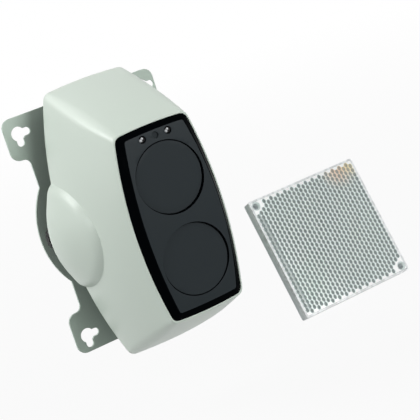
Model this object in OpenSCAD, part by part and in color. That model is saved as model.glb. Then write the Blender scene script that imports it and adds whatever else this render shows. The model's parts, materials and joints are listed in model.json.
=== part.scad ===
/* [Wall plate] */
// Width of the plate over its ears
plate_w = 130; // [126:1:136]
// Height of the plate
plate_h = 189; // [180:1:200]
// Thickness of the plate
plate_t = 2; // [1.5:0.1:2.5]
// Width of an ear, from the waist to the plate's side
ear_w = 13; // [12.5:0.5:15]
// Height of an ear
ear_h = 32.5; // [28:0.5:36]
// Radius of the ears' corners
ear_corner_r = 7; // [3:0.5:7]
// Radius of the inner bend where an ear meets the waist
neck_r = 5; // [2:0.5:5]
// How far the plate's round middle stays behind the sides of the ears
bulge_in = 0.5; // [0:0.1:3]
// Radius of a keyhole's round entry
keyhole_r = 5.5; // [4.5:0.1:6]
// Width of a keyhole's slots
key_slot_w = 6; // [4:0.1:7]
// Distance from the round entry to the end of a slot
key_slot_reach = 6.9; // [6:0.1:7.5]
// Distance of the keyholes from the plate's sides
keyhole_side = 10.8; // [10:0.1:12]
// Distance of the keyholes from the plate's top and bottom
keyhole_end = 12.8; // [12:0.1:16]
// Radius of the hole for the wires from the wall
wire_hole_r = 9; // [6:0.5:9]
// Place of the wire hole and of the grommet, right of the middle and below it
wire_at = [17, 80];

/* [Pivot] */
// Distance of both pivot axes from the wall
pivot_z = 12; // [11.5:0.1:12.5]
// Outer radius of the pivot ring
ring_r = 24; // [20:0.5:24]
// Width of the pivot ring's rim
ring_rim = 7; // [5:0.5:9]
// Thickness of the pivot ring
ring_t = 8; // [6:0.5:8]
// Radius of the pivot pins
pin_r = 2; // [1.5:0.1:2.5]
// Radial running clearance of pins and journals
pin_fit = 0.05; // [0.02:0.01:0.08]
// Radius of the pins' heads
pin_head_r = 3.4; // [3:0.1:4]
// Thickness of the pins' heads
pin_head_t = 1.5; // [1:0.1:2]
// Radius of the bosses and lugs round the pins
boss_r = 5; // [4:0.1:5]
// How far a boss stands out of the ring
boss_out = 2.6; // [1:0.1:3]
// Thickness of a pivot lug
lug_t = 4; // [3:0.1:5]
// Play between a boss and its lug
lug_gap = 0.4; // [0.3:0.1:0.6]
// Thickness of the pivot bracket's base
bracket_t = 2; // [1.5:0.1:2.5]

/* [Thumbwheels] */
// Radius of a thumbwheel
wheel_r = 12.5; // [11:0.1:12.5]
// Thickness of a thumbwheel's rim
wheel_t = 6.4; // [5:0.1:6.6]
// Number of flutes round a thumbwheel
wheel_flutes = 24; // [16:1:30]
// Depth of a flute
flute_depth = 0.8; // [0.4:0.1:1]
// Radius of a thumbwheel's hub
hub_r = 7; // [6.5:0.1:8]
// Radius of a thumbwheel's journals
journal_r = 5; // [4.6:0.1:5.5]
// Radius of the relief bored into both ends of the hub
relief_r = 3.9; // [3.7:0.1:4]
// Radius of the nut at the middle of the hub
nut_r = 3.05; // [3:0.05:3.2]
// Length of the nut
nut_t = 4; // [3:0.1:5]
// Thickness of a wheel bracket's leaves
leaf_t = 1.4; // [1.2:0.1:1.6]
// Width of a wheel bracket's leaves
leaf_w = 16; // [14:0.5:18]
// Play between a hub and its bracket's leaves
end_play = 0.4; // [0.3:0.1:0.5]
// Distance from the pivot to the pan wheel's axis
pan_arm = 51; // [50:0.5:51]
// Distance from the pivot to the tilt wheel's axis
tilt_arm = 84; // [80:0.5:84]
// Radius of the adjusting screws
screw_r = 2.5; // [2.3:0.1:2.5]
// Distance from the wall to an adjusting screw's tip
screw_tip = 6.3; // [6.2:0.1:7]
// Radius of an adjusting screw's flange nut
flange_r = 5.5; // [4:0.1:6]
// Thickness of an adjusting screw's flange nut
flange_t = 1.2; // [1:0.1:1.4]
// Height of an adjusting screw's lock nut
lock_nut_t = 2.6; // [2:0.1:3]
// Radius of an adjusting screw's lock nut over its corners
lock_nut_r = 4.4; // [4:0.1:4.5]

/* [Cover] */
// Distance from the wall to the cover's rear edge
cover_z = 22.8; // [22:0.1:24]
// Distance from the wall to the cover's front lip
lip_z = 112; // [108:0.5:116]
// Width of the rear edge at mid height, without the blisters
rear_w = 106.8; // [106:0.1:108]
// How far the rear edge's sides bow out beyond its corners, without the blisters
rear_side_bow = 19.6; // [17:0.1:20]
// Height of the rear edge in the middle
rear_h = 212.6; // [210:0.1:216]
// How far the rear edge's ends bow out beyond its corners
rear_end_bow = 1.9; // [1.8:0.1:3]
// How far the flanks swell between rear and front
flank_swell = 5.2; // [3:0.1:6]
// How far the top and the bottom swell
top_swell = 2.5; // [1.5:0.1:4]
// How far the four ridges swell
ridge_swell = 1.4; // [1:0.1:2]
// How far a ridge's rounding reaches at the rear
ridge_round = 7; // [5:0.5:10]
// Wall of the cover
wall = 2.5; // [2:0.1:3]
// Width of the lip round the window
lip_w = 1.2; // [1:0.1:2]
// Radius of the blisters, across the cover
blister_r = 65; // [64:0.5:66]
// Radius of the blisters, along the depth
blister_reach = 81; // [76:0.5:84]
// Depth of the window's seat behind the lip
seat_d = 3; // [2:0.1:4]
// Width of the window's seat
seat_w = 3; // [2:0.1:4]
// Thickness of the window's seat
seat_t = 2; // [1.5:0.1:3]

/* [Window] */
// Width of the window's foot at mid height
window_w = 70; // [68:0.5:72]
// How far the sides of the window's foot bow out beyond its corners
window_side_bow = 6.5; // [5:0.1:7.5]
// Height of the window's foot in the middle
window_h = 139.6; // [136:0.1:142]
// How far the ends of the window's foot bow out beyond its corners
window_end_bow = 3.4; // [2.5:0.1:4.5]
// How far a corner's rounding reaches at the window's foot
window_round = 5; // [3:0.5:7]
// How far the window's middle stands above the pivot
window_rise = 0.9; // [0:0.1:2]
// How far the front panel stands out of the lip
window_proud = 7; // [5:0.1:8]
// Width of the sloping band round the front panel
band_w = 5.5; // [4.5:0.1:7]
// How far the front panel's sides bow out beyond its corners
panel_side_bow = 4.5; // [3:0.1:5.5]
// How far the front panel's ends bow out beyond its corners
panel_end_bow = 2.3; // [1.5:0.1:3]
// Radius of the front panel's crown, from top to bottom
crown_r = 640; // [500:10:900]
// Wall of the window
window_t = 2.5; // [2:0.1:3]
// Radius of the two flat discs
disc_r = 26; // [24:0.1:26.5]
// Distance between the discs' centres
disc_pitch = 61.4; // [60:0.1:64]
// Radius of a status light pipe
pipe_r = 2.6; // [2:0.1:3]
// Distance from the middle to a status light pipe
pipe_side = 10.3; // [8:0.1:14]
// Distance from the front panel's upper end to the light pipes' middles
pipe_end = 2.5; // [2:0.1:6]
// Radius of the sensor hole between the light pipes
sensor_r = 2.4; // [1.5:0.1:3]

/* [Chassis] */
// Distance from the wall to the chassis
chassis_z = 25; // [24.8:0.1:25.5]
// Thickness of the chassis floor
floor_t = 2.5; // [2:0.1:3]
// Clearance between the chassis and the cover
cover_fit = 0.4; // [0.3:0.05:0.6]
// Width of the chassis rim outside the tray
rim_w = 5; // [4.5:0.1:6]
// Height of the tray's wall above the floor
tray_h = 12.5; // [8:0.5:13]
// Thickness of the tray's wall
tray_t = 2; // [1.5:0.1:2.5]
// Width of the seal on the chassis rim
seal_w = 2.5; // [1.5:0.1:3]
// Thickness of the seal
seal_t = 1.5; // [1:0.1:2]
// Width of a cover clip
clip_w = 14; // [10:0.5:20]
// Thickness of a cover clip's steel
clip_t = 0.8; // [0.5:0.1:1]
// Play between a cover clip and the cover
clip_gap = 0.5; // [0.4:0.1:1]
// Radius of the wire grommet's bore
grommet_bore_r = 3.5; // [2.5:0.1:4]
// Wall of the grommet inside its groove
grommet_wall = 2.5; // [2:0.1:3]
// Radial depth of the grommet's groove
groove_d = 1.8; // [1:0.1:2]
// Thickness of a grommet's flange
grommet_flange_t = 1.6; // [1:0.1:2]

/* [Boards] */
// Width of the main board
board_w = 56; // [50:0.5:56]
// Height of the main board's top edge above the pivot
board_top = 78; // [76:0.5:78.5]
// Depth of the main board's bottom edge below the pivot
board_bottom = 74; // [73.5:0.5:75]
// Thickness of the boards
board_t = 1.6; // [1:0.1:2]
// Height of the standoffs under the main board
standoff_h = 3.5; // [3:0.1:4]
// Radius of the standoffs
standoff_r = 3; // [2.5:0.1:3.5]
// Distance of the board's screws from its sides
board_screw_side = 4; // [3.5:0.1:5]
// Distance of the board's screws from its ends
board_screw_end = 5; // [4:0.1:6]
// Radius of the small screws
small_screw_r = 1.4; // [1:0.1:1.5]
// Radius of the small screws' heads
small_head_r = 2.6; // [2:0.1:3]
// Height of the small screws' heads
small_head_t = 1.8; // [1:0.1:2]
// Length of the small screws below their heads
small_screw_l = 6; // [5:0.5:6]
// Number of wire terminals
terminals = 8; // [4:1:8]
// Distance between two terminals
terminal_pitch = 5; // [4:0.1:5]
// Depth of the terminal block, along the board
terminal_d = 12; // [10:0.1:12]
// Height of the terminal block
terminal_h = 10; // [8:0.1:11]
// Size of a relay, across, along and above the board
relay_size = [19, 10, 9.6];
// Size of the alignment button's housing
button_box = [12, 12, 4];
// Radius of the alignment button
button_r = 3.3; // [2.5:0.1:4]
// How far the alignment button stands out of its housing
button_out = 5; // [4:0.1:6]
// Travel of the alignment button
button_travel = 0.8; // [0.4:0.1:1]
// Size of the mode switch's body
dip_box = [12.4, 7.2, 4];
// Number of sliding levers on the mode switch
dip_levers = 4; // [4:1:4]
// Distance between two levers
dip_pitch = 2.54; // [2.5:0.01:2.6]
// Travel of a lever
dip_travel = 1.8; // [1.5:0.1:2]

/* [Optics] */
// Distance from the chassis floor to the optical moulding
optic_lift = 16.5; // [16:0.1:17]
// Thickness of the optical moulding's base
optic_base_t = 2.5; // [2:0.1:3]
// Width of the optical moulding's base
optic_w = 76; // [74:0.5:78]
// Height of the optical moulding's base
optic_h = 120; // [118:0.5:121]
// Radius of the posts that carry the optical moulding
post_r = 3.4; // [3:0.1:3.6]
// Distance of the posts from the base's sides and ends
post_inset = [4.5, 10];
// Radius of a horn's mouth over its wall
horn_r = 28.4; // [27.8:0.1:29]
// Wall of a horn
horn_wall = 1.8; // [1.4:0.1:2]
// Radius of a horn's throat
throat_r = 9; // [7:0.5:10]
// Distance from the base to a horn's mouth
horn_l = 57; // [52:0.5:58]
// Length of a horn's round mouth
mouth_l = 12; // [10:0.5:16]
// Width of the shoulder that a lens rests on
shoulder_w = 2; // [1:0.1:3]
// Clearance round a lens
lens_fit = 0.15; // [0.1:0.05:0.3]
// Thickness of a lens at its edge
lens_edge = 3; // [2:0.1:4]
// Height of a lens's crown
lens_crown = 5; // [3:0.1:6]
// Thickness of a lens's retaining ring
lens_ring_t = 1.6; // [1:0.1:2]
// Width of a lens's retaining ring
lens_ring_w = 1.8; // [1:0.1:2.5]
// Size of the emitter's and the receiver's boards
eye_board = [30, 24];
// Radius of the emitting and receiving diodes
diode_r = 2.5; // [2:0.1:3]
// Height of the emitting and receiving diodes
diode_h = 7; // [5:0.1:9]

/* [Reflector] */
// Width and height of the reflector
reflector_w = 100; // [96:0.5:104]
// Thickness of the reflector
reflector_d = 9.5; // [9:0.1:11]
// Wall of the reflector's tray
reflector_wall = 1.4; // [1:0.1:2]
// Floor of the reflector's tray
reflector_floor = 1.5; // [1:0.1:2]
// Radius of the reflector's upright corners
reflector_corner_r = 1.5; // [1:0.1:2]
// Clearance between the prism plate and its tray
prism_fit = 0.15; // [0.1:0.05:0.3]
// Plain border round the prisms
prism_border = 2; // [1.5:0.1:3]
// Thickness of the prism plate at its border
prism_plate_t = 3; // [2.5:0.1:3.5]
// Number of prism columns
prism_columns = 42; // [36:2:44]
// Number of prism rows
prism_rows = 48; // [42:2:50]
// Distance of the reflector's screw holes from its sides
reflector_hole_side = 5; // [4.8:0.1:7]
// Radius of the reflector's screw holes
reflector_hole_r = 2.25; // [1.8:0.05:2.5]
// Radius of the bosses round the screw holes
reflector_boss_r = 4.2; // [3.8:0.1:4.5]
// Lean of the reflector, its top towards the wall
reflector_lean = 22; // [0:1:30]
// Place of the middle of the reflector's back, right, up and out from the pivot's foot
reflector_at = [138.3, -75.6, 56.9];

/* [Hidden] */
$fn = 64;
// Overrun of every cut
over = 1;
// Clearance between two parts that lie face to face
face_gap = 0.1;
// Clearance of a small screw in its hole
hole_fit = 0.1;
// Steps in each rounded corner of an outline
arc_steps = 5;
// Steps of the cover's outline in a quarter: blister, flank, ridge and end
blister_steps = 6;
flank_steps = 5;
ridge_steps = 4;
end_steps = 4;
// Steps of the cover's skin along the depth, over the blister and ahead of it
blister_rings = 7;
front_rings = 4;
// Least half height of the strip that runs on ahead of the blister
crease_least = 1.5;
halvings = 16;
// Steps in the lens's crown
lens_steps = 12;

window_z = lip_z + window_proud;
floor_z = chassis_z + floor_t;
board_z = floor_z + standoff_h;
parts_z = board_z + board_t;
optic_z = floor_z + optic_lift;
horn_z = optic_z + optic_base_t;
mouth_z = horn_z + horn_l;
lens_r = horn_r - horn_wall - lens_fit;
shoulder_z = mouth_z - mouth_l + horn_wall;
lug_in = ring_r + boss_out + lug_gap;
lug_out = lug_in + lug_t;
leaf_z = pivot_z + wheel_t / 2 + end_play;
screw_nuts_h = flange_t + floor_t + lock_nut_t + face_gap;
web_x = wheel_r + lug_gap * 2;
rivet_r = 1.5;
rivet_head_r = 2.6;
rivet_head_t = 1;
pivot_rivet_y = 20;
head_rivet_x = 20;
wheel_rivet_side = 5;
wheel_foot = 7;
dip_at = [-13, board_top - 10];
button_at = [13, board_top - 10];
dip_slot_w = 1.6;
dip_slot_d = 1.4;
dip_lever = [1.3, 1.6, 2.4];
dip_play = 0.15;
relay_gap = 3;
capacitor_r = 4;
capacitor_h = 10;
capacitor_x = 18;
chip_size = [10, 10, 1.6];
terminal_w = terminals * terminal_pitch;
terminal_y = face_gap - board_bottom;
relay_y = terminal_y + terminal_d + relay_gap + relay_size.y / 2;
well_share = 0.76;
wire_share = 0.6;
diode_rim = 0.6;
window_fit = 0.15;
panel_w = window_w - 2 * band_w;
panel_h = window_h - 2 * band_w;
pipe_y = panel_h / 2 - pipe_end;
pipe_dome = 1.6;
pipe_root = 6;
prism_front = reflector_d;
prism_back = reflector_d - prism_plate_t;
prism_w = reflector_w - 2 * (reflector_wall + prism_fit);
prism_field = prism_w - 2 * prism_border;
prism_pitch = prism_field / prism_columns;
prism_row = prism_field / prism_rows;
prism_step = prism_pitch / sqrt(2);
reflector_hole = reflector_w / 2 - reflector_hole_side;

function unit(v) = v / norm(v);
function mix(a, b, t) = a + (b - a) * t;
function swell(t) = 4 * t * (1 - t);

// The arc of radius r that rounds the corner b between a and c
function bend(a, b, c, r) =
    let (u = unit(a - b), v = unit(c - b), half = acos(u * v) / 2,
        mid = b + unit(u + v) * (r / sin(half)),
        first = b + u * (r / tan(half)) - mid,
        last = b + v * (r / tan(half)) - mid,
        from = atan2(first.y, first.x),
        turn = atan2(first.x * last.y - first.y * last.x, first * last))
    [for (k = [0:arc_steps]) let (a = from + turn * k / arc_steps) mid + r * [cos(a), sin(a)]];

// An outline of corners [x, y, radius]
function rounded(path) =
    let (n = len(path), at = [for (p = path) [p.x, p.y]])
    [for (k = [0:n - 1]) each path[k].z == 0 ? [at[k]]
        : bend(at[(k + n - 1) % n], at[k], at[(k + 1) % n], path[k].z)];

function block(w, h, r) = rounded([[w / 2, h / 2, r], [-w / 2, h / 2, r],
    [-w / 2, -h / 2, r], [w / 2, -h / 2, r]]);

// Half sizes of a convex outline: middle width, corner width, middle height, corner height, rounding
function halves(w, side_bow, h, end_bow, r) = [w / 2, w / 2 - side_bow, h / 2, h / 2 - end_bow, r];
rear = halves(rear_w, rear_side_bow, rear_h, rear_end_bow, ridge_round);
foot = halves(window_w, window_side_bow, window_h, window_end_bow, window_round);
panel = halves(panel_w, panel_side_bow, panel_h, panel_end_bow, window_round);
lip = grow(foot, lip_w);
bulge = [flank_swell, ridge_swell, top_swell, ridge_swell, 0];

function grow(s, d) = [s[0] + d, s[1] + d, s[2] + d, s[3] + d, s[4]];
function depth_share(z) = (z - cover_z) / (lip_z - cover_z);
function skin(z) = let (t = depth_share(z)) mix(rear, lip, t) + bulge * swell(t);
function flank(s, y) = s[0] - (s[0] - s[1]) * pow(y / s[3], 2);
function end_face(s, x) = s[2] - (s[2] - s[3]) * pow(x / s[1], 2);

// Half width of a blister at height y and depth z, drawn in by d
function blister(y, z, d) =
    let (q = 1 - pow(y / (blister_r - d), 2) - pow((z - cover_z) / (blister_reach - d), 2))
    q > 0 ? (blister_r - d) * sqrt(q) : 0;

// Height at which a blister breaks out of the flank
function crease(s, z, d, low = 0, high = blister_r, n = halvings) =
    let (y = (low + high) / 2)
    n == 0 ? max(y, crease_least)
    : blister(y, z, d) > flank(s, y) ? crease(s, z, d, y, high, n - 1)
    : crease(s, z, d, low, y, n - 1);

// Depth at which a blister's nose meets the flank
function nose(low = cover_z, high = lip_z, n = halvings) =
    let (z = (low + high) / 2)
    n == 0 ? z : blister(0, z, 0) > skin(z)[0] ? nose(z, high, n - 1) : nose(low, z, n - 1);

// A quarter of the outline s, with the blister at depth z where one is asked for
function quarter(s, z, d, ball) =
    let (c = ball ? crease(s, z, d) : crease_least, top = s[3] - s[4], side = s[1] - s[4],
        a = [flank(s, top), top], b = [s[1], s[3]], e = [side, end_face(s, side)])
    concat(
        [for (k = [0:blister_steps - 1]) let (y = c * k / blister_steps)
            [ball ? max(blister(y, z, d), flank(s, y)) : flank(s, y), y]],
        [for (k = [0:flank_steps - 1]) let (y = mix(c, top, k / flank_steps)) [flank(s, y), y]],
        [for (k = [0:ridge_steps - 1]) let (t = k / ridge_steps)
            a * pow(1 - t, 2) + b * 2 * t * (1 - t) + e * pow(t, 2)],
        [for (k = [0:end_steps]) let (x = side * (1 - k / end_steps)) [x, end_face(s, x)]]);

function mirrored(q) = let (n = len(q) - 1) concat(q,
    [for (k = [n - 1:-1:0]) [-q[k].x, q[k].y]],
    [for (k = [1:n]) [-q[k].x, -q[k].y]],
    [for (k = [n - 1:-1:1]) [q[k].x, -q[k].y]]);

function outline(s, z, d = 0, ball = false) = mirrored(quarter(grow(s, -d), z, d, ball));
function raised(points, dy, z) = [for (p = points) [p.x, p.y + dy, z]];
function skin_ring(z, d, ball = true) =
    raised(outline(skin(z), z, d, ball), window_rise * depth_share(z), z);
function skin_outline(z, d, ball) = [for (p = skin_ring(z, d, ball)) [p.x, p.y]];
function foot_ring(z, d) = raised(outline(foot, z, d), window_rise, z);

// The triangles between ring a and ring b, each of n points
function strip(a, b, n) = [for (k = [0:n - 1]) let (m = (k + 1) % n)
    each [[a + k, b + k, b + m], [a + k, b + m, a + m]]];

module face_frame() rotate([90, 0, 0]) children();
module lift(z) translate([0, 0, z]) children();
module at_point(p, z = 0) translate([p.x, p.y, z]) children();
module at_wires(z) translate([wire_at.x, -wire_at.y, z]) children();
module around_pan() translate([-pan_arm, 0, 0]) rotate(180) children();
module around_tilt() translate([0, -tilt_arm, 0]) rotate(-90) children();

// A slab with the outline of the cover's skin at depth z, drawn in by d
module skin_slab(z, d, h, ball = false) linear_extrude(h) polygon(skin_outline(z, d, ball));

// Lays a shape that runs along +Z outwards from the pivot at each of the turns
module at_turns(turns) for (a = turns) lift(pivot_z) rotate(a) rotate([0, 90, 0]) children();

// A lug with a round end about the pivot's depth, one face at x = 0, standing on depth z
module lug(z) {
    lift(pivot_z) rotate([0, 90, 0]) cylinder(r = boss_r, h = lug_t);
    translate([0, -boss_r, min(z, pivot_z)]) cube([lug_t, 2 * boss_r, abs(z - pivot_z)]);
}

module pivot_pins(turns) at_turns(turns) {
    lift(ring_r - ring_rim) cylinder(r = pin_r, h = lug_out - ring_r + ring_rim + face_gap);
    lift(lug_out + face_gap) cylinder(r = pin_head_r, h = pin_head_t);
}

module keyhole() {
    cut = plate_t + 2 * over;
    cylinder(r = keyhole_r, h = cut);
    for (a = [0, -90]) rotate(a) {
        translate([0, -key_slot_w / 2, 0]) cube([key_slot_reach, key_slot_w, cut]);
        translate([key_slot_reach, 0, 0]) cylinder(d = key_slot_w, h = cut);
    }
}

module wall_plate() face_frame() color([0.66, 0.69, 0.67]) {
    x = plate_w / 2;
    y = plate_h / 2;
    waist = x - ear_w;
    ear = y - ear_h;
    half = [[x, y, ear_corner_r], [-x, y, ear_corner_r], [-x, ear, ear_corner_r], [-waist, ear, neck_r],
        [-waist, -ear, neck_r], [-x, -ear, ear_corner_r]];
    difference() {
        linear_extrude(plate_t) union() {
            polygon(rounded(concat(half, [for (p = half) [-p.x, -p.y, p.z]])));
            circle(r = x - bulge_in);
        }
        for (i = [-1, 1], j = [-1, 1])
            translate([i * (x - keyhole_side), j * (y - keyhole_end), -over]) keyhole();
        at_wires(-over) cylinder(r = wire_hole_r, h = plate_t + 2 * over);
        translate([0, -tilt_arm, -over]) cylinder(r = journal_r, h = plate_t + 2 * over);
        rivet_places() lift(-over) cylinder(r = rivet_r + hole_fit, h = plate_t + 2 * over);
    }
}

module pivot_bracket() face_frame() color([0.55, 0.57, 0.58]) difference() {
    union() {
        lift(plate_t) linear_extrude(bracket_t) polygon(block(2 * boss_r, 2 * lug_out, bracket_t / 2));
        for (a = [90, -90]) rotate(a) translate([lug_in, 0, 0]) lug(plate_t + bracket_t / 2);
    }
    at_turns([90, -90]) cylinder(r = pin_r + pin_fit, h = lug_out + over);
    pivot_rivets() lift(plate_t - over) cylinder(r = rivet_r + hole_fit, h = bracket_t + 2 * over);
}

module pan_pivot_pins() face_frame() color([0.78, 0.79, 0.8]) pivot_pins([90, -90]);
module tilt_pivot_pins() face_frame() color([0.78, 0.79, 0.8]) pivot_pins([0, 180]);

// A bracket whose two leaves hold a thumbwheel's journals, its web towards -X
module wheel_bracket() difference() {
    back = web_x + leaf_t;
    union() {
        for (z = [plate_t, leaf_z]) lift(z) {
            cylinder(d = leaf_w, h = leaf_t);
            translate([-back, -leaf_w / 2, 0]) cube([back, leaf_w, leaf_t]);
        }
        translate([-back, -leaf_w / 2, plate_t]) cube([leaf_t, leaf_w, leaf_z + leaf_t - plate_t]);
        translate([-back - wheel_foot, -leaf_w / 2, plate_t]) cube([wheel_foot + leaf_t, leaf_w, leaf_t]);
    }
    cylinder(r = journal_r + pin_fit, h = leaf_z + leaf_t + over);
    wheel_rivets() lift(plate_t - over) cylinder(r = rivet_r + hole_fit, h = leaf_t + 2 * over);
}

module pan_wheel_bracket() face_frame() color([0.55, 0.57, 0.58]) around_pan() wheel_bracket();
module tilt_wheel_bracket() face_frame() color([0.55, 0.57, 0.58]) around_tilt() wheel_bracket();

module pivot_rivets() for (j = [-1, 1]) translate([0, j * pivot_rivet_y, 0]) children();
module head_rivet_places() for (i = [-1, 1]) translate([i * head_rivet_x, 0, 0]) children();
module wheel_rivets() for (j = [-1, 1])
    translate([-web_x - leaf_t - wheel_foot / 2, j * wheel_rivet_side, 0]) children();
module rivet_places() {
    pivot_rivets() children();
    around_pan() wheel_rivets() children();
    around_tilt() wheel_rivets() children();
}

// A rivet through sheets of thickness t in all, its foot flush at z = 0
module rivet(t) {
    cylinder(r = rivet_r, h = t + face_gap);
    lift(t) cylinder(r = rivet_head_r, h = rivet_head_t);
}

module bracket_rivets() face_frame() color([0.8, 0.8, 0.8]) {
    pivot_rivets() rivet(plate_t + bracket_t);
    around_pan() wheel_rivets() rivet(plate_t + leaf_t);
    around_tilt() wheel_rivets() rivet(plate_t + leaf_t);
}

module pivot_ring() face_frame() color([0.5, 0.52, 0.54]) difference() {
    union() {
        lift(pivot_z - ring_t / 2) cylinder(r = ring_r, h = ring_t);
        at_turns([0:90:270]) cylinder(r = boss_r, h = ring_r + boss_out);
    }
    lift(pivot_z - boss_r - over) cylinder(r = ring_r - ring_rim, h = 2 * (boss_r + over));
    at_turns([0:90:270]) cylinder(r = pin_r + pin_fit, h = ring_r + boss_out + over);
}

// Rim of a thumbwheel of radius r, with n round flutes of depth d
function fluted(r, n, d) = [for (k = [0:6 * n - 1])
    let (a = 60 * k / n, f = r - d * pow(sin(30 * k), 2)) f * [cos(a), sin(a)]];

module thumbwheel() {
    hub_z = plate_t + leaf_t + end_play;
    low_z = plate_t + end_play;
    difference() {
        union() {
            lift(pivot_z - wheel_t / 2) linear_extrude(wheel_t)
                polygon(fluted(wheel_r, wheel_flutes, flute_depth));
            lift(hub_z) cylinder(r = hub_r, h = leaf_z - end_play - hub_z);
            lift(low_z) cylinder(r = journal_r, h = leaf_z + leaf_t - end_play - low_z);
        }
        cylinder(r = nut_r, h = leaf_z + leaf_t + over);
        for (z = [0, pivot_z + nut_t / 2]) lift(z) cylinder(r = relief_r, h = pivot_z - nut_t / 2);
    }
}

module pan_thumbwheel() face_frame() color([0.08, 0.08, 0.08]) around_pan() thumbwheel();
module tilt_thumbwheel() face_frame() color([0.08, 0.08, 0.08]) around_tilt() thumbwheel();

module adjusting_screw()
    lift(screw_tip) cylinder(r = screw_r, h = floor_z + lock_nut_t + face_gap - screw_tip);

// The flange nut below the chassis floor and the lock nut above it that hold an adjusting screw
module screw_nuts() difference() {
    union() {
        lift(chassis_z - flange_t) cylinder(r = flange_r, h = flange_t - face_gap);
        lift(floor_z + face_gap) cylinder(r = lock_nut_r, h = lock_nut_t, $fn = 6);
    }
    lift(chassis_z - flange_t - over) cylinder(r = screw_r + face_gap, h = screw_nuts_h + 2 * over);
}

module pan_adjusting_screw() face_frame() color([0.75, 0.76, 0.78]) around_pan() adjusting_screw();
module tilt_adjusting_screw() face_frame() color([0.75, 0.76, 0.78]) around_tilt() adjusting_screw();
module adjusting_nuts() face_frame() color([0.6, 0.62, 0.63]) {
    around_pan() screw_nuts();
    around_tilt() screw_nuts();
}

module board_corners() for (i = [-1, 1], y = [board_screw_end - board_bottom, board_top - board_screw_end])
    translate([i * (board_w / 2 - board_screw_side), y, 0]) children();
module optic_corners() for (i = [-1, 1], j = [-1, 1])
    translate([i * (optic_w / 2 - post_inset.x), j * (optic_h / 2 - post_inset.y), 0]) children();

// The steel bracket on the chassis's back whose lugs hold the tilt pins
module head_bracket() face_frame() color([0.55, 0.57, 0.58]) difference() {
    union() {
        lift(chassis_z - bracket_t) linear_extrude(bracket_t)
            polygon(block(2 * lug_out, 2 * boss_r, bracket_t / 2));
        for (a = [0, 180]) rotate(a) translate([lug_in, 0, 0]) lug(chassis_z - bracket_t / 2);
    }
    at_turns([0, 180]) cylinder(r = pin_r + pin_fit, h = lug_out + over);
    head_rivet_places() lift(chassis_z - bracket_t - over)
        cylinder(r = rivet_r + hole_fit, h = bracket_t + 2 * over);
}

module head_rivets() face_frame() color([0.8, 0.8, 0.8])
    head_rivet_places() lift(floor_z) mirror([0, 0, 1]) rivet(floor_t + bracket_t);

module chassis() face_frame() color([0.2, 0.21, 0.22]) {
    tray = wall + cover_fit + rim_w;
    tray_z = floor_z + tray_h;
    difference() {
        union() {
            lift(chassis_z) skin_slab(floor_z, wall + cover_fit, floor_t, true);
            lift(floor_z) difference() {
                skin_slab(tray_z, tray, tray_h);
                lift(-over) skin_slab(tray_z, tray + tray_t, tray_h + 2 * over);
            }
            board_corners() lift(floor_z) cylinder(r = standoff_r, h = standoff_h);
            optic_corners() lift(floor_z) cylinder(r = post_r, h = optic_lift);
        }
        head_rivet_places() lift(chassis_z - over) cylinder(r = rivet_r + hole_fit, h = floor_t + 2 * over);
        for (p = [[-pan_arm, 0], [0, -tilt_arm]]) at_point(p, chassis_z - over)
            cylinder(r = screw_r + pin_fit, h = floor_t + 2 * over);
        at_wires(chassis_z - over)
            cylinder(r = grommet_bore_r + grommet_wall + hole_fit, h = floor_t + 2 * over);
        board_corners() lift(parts_z - small_screw_l - over)
            cylinder(r = small_screw_r + hole_fit, h = small_screw_l + over);
        optic_corners() lift(horn_z - small_screw_l - over)
            cylinder(r = small_screw_r + hole_fit, h = small_screw_l + over);
    }
}

module cover_seal() face_frame() color([0.1, 0.1, 0.1]) lift(floor_z + face_gap) difference() {
    skin_slab(floor_z + 2 * seal_t, wall + cover_fit, seal_t, true);
    lift(-over) skin_slab(floor_z + 2 * seal_t, wall + cover_fit + seal_w, seal_t + 2 * over, true);
}

// A bowed leaf of spring steel on the tray's outside, its crown just short of the cover's wall
module cover_clip() {
    tray_z = floor_z + tray_h;
    foot_y = skin(tray_z)[2] - wall - cover_fit - rim_w + face_gap;
    low_z = floor_z + 2 * seal_t;
    bow = skin(tray_z)[2] - wall - clip_gap - clip_t - foot_y;
    n = 10;
    leaf = [for (k = [0:n]) [bow * pow(sin(180 * max(0, k - 2) / (n - 2)), 2), mix(low_z, tray_z, k / n)]];
    translate([-clip_w / 2, foot_y, 0]) rotate([90, 0, 90]) linear_extrude(clip_w)
        polygon(concat(leaf, [for (k = [n:-1:0]) leaf[k] + [clip_t, 0]]));
}

module cover_clips() face_frame() color([0.8, 0.81, 0.83])
    translate([0, window_rise * depth_share(floor_z + tray_h), 0]) for (a = [0, 180]) rotate(a) cover_clip();

module wire_grommet() face_frame() color([0.07, 0.07, 0.07])
    at_wires(chassis_z) rotate_extrude() {
        flange_w = grommet_wall + groove_d;
        for (z = [-grommet_flange_t - face_gap, floor_t + face_gap])
            translate([grommet_bore_r, z]) square([flange_w, grommet_flange_t]);
        translate([grommet_bore_r, -grommet_flange_t]) square([grommet_wall, floor_t + 2 * grommet_flange_t]);
    }

module main_board() face_frame() color([0.1, 0.35, 0.2]) difference() {
    translate([0, (board_top - board_bottom) / 2, board_z]) linear_extrude(board_t)
        polygon(block(board_w, board_top + board_bottom, standoff_r));
    board_corners() lift(board_z - over) cylinder(r = small_screw_r + hole_fit, h = board_t + 2 * over);
}

// A domed, slotted screw that points towards the wall, its head resting at z = 0
module small_screw() {
    lift(-small_screw_l) cylinder(r = small_screw_r, h = small_screw_l + face_gap);
    difference() {
        intersection() {
            lift(small_head_t - 2 * small_head_r) sphere(r = 2 * small_head_r);
            cylinder(r = small_head_r, h = small_head_t);
        }
        translate([-small_head_r, -small_screw_r / 4, small_head_t / 2])
            cube([2 * small_head_r, small_screw_r / 2, small_head_t]);
    }
}

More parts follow.
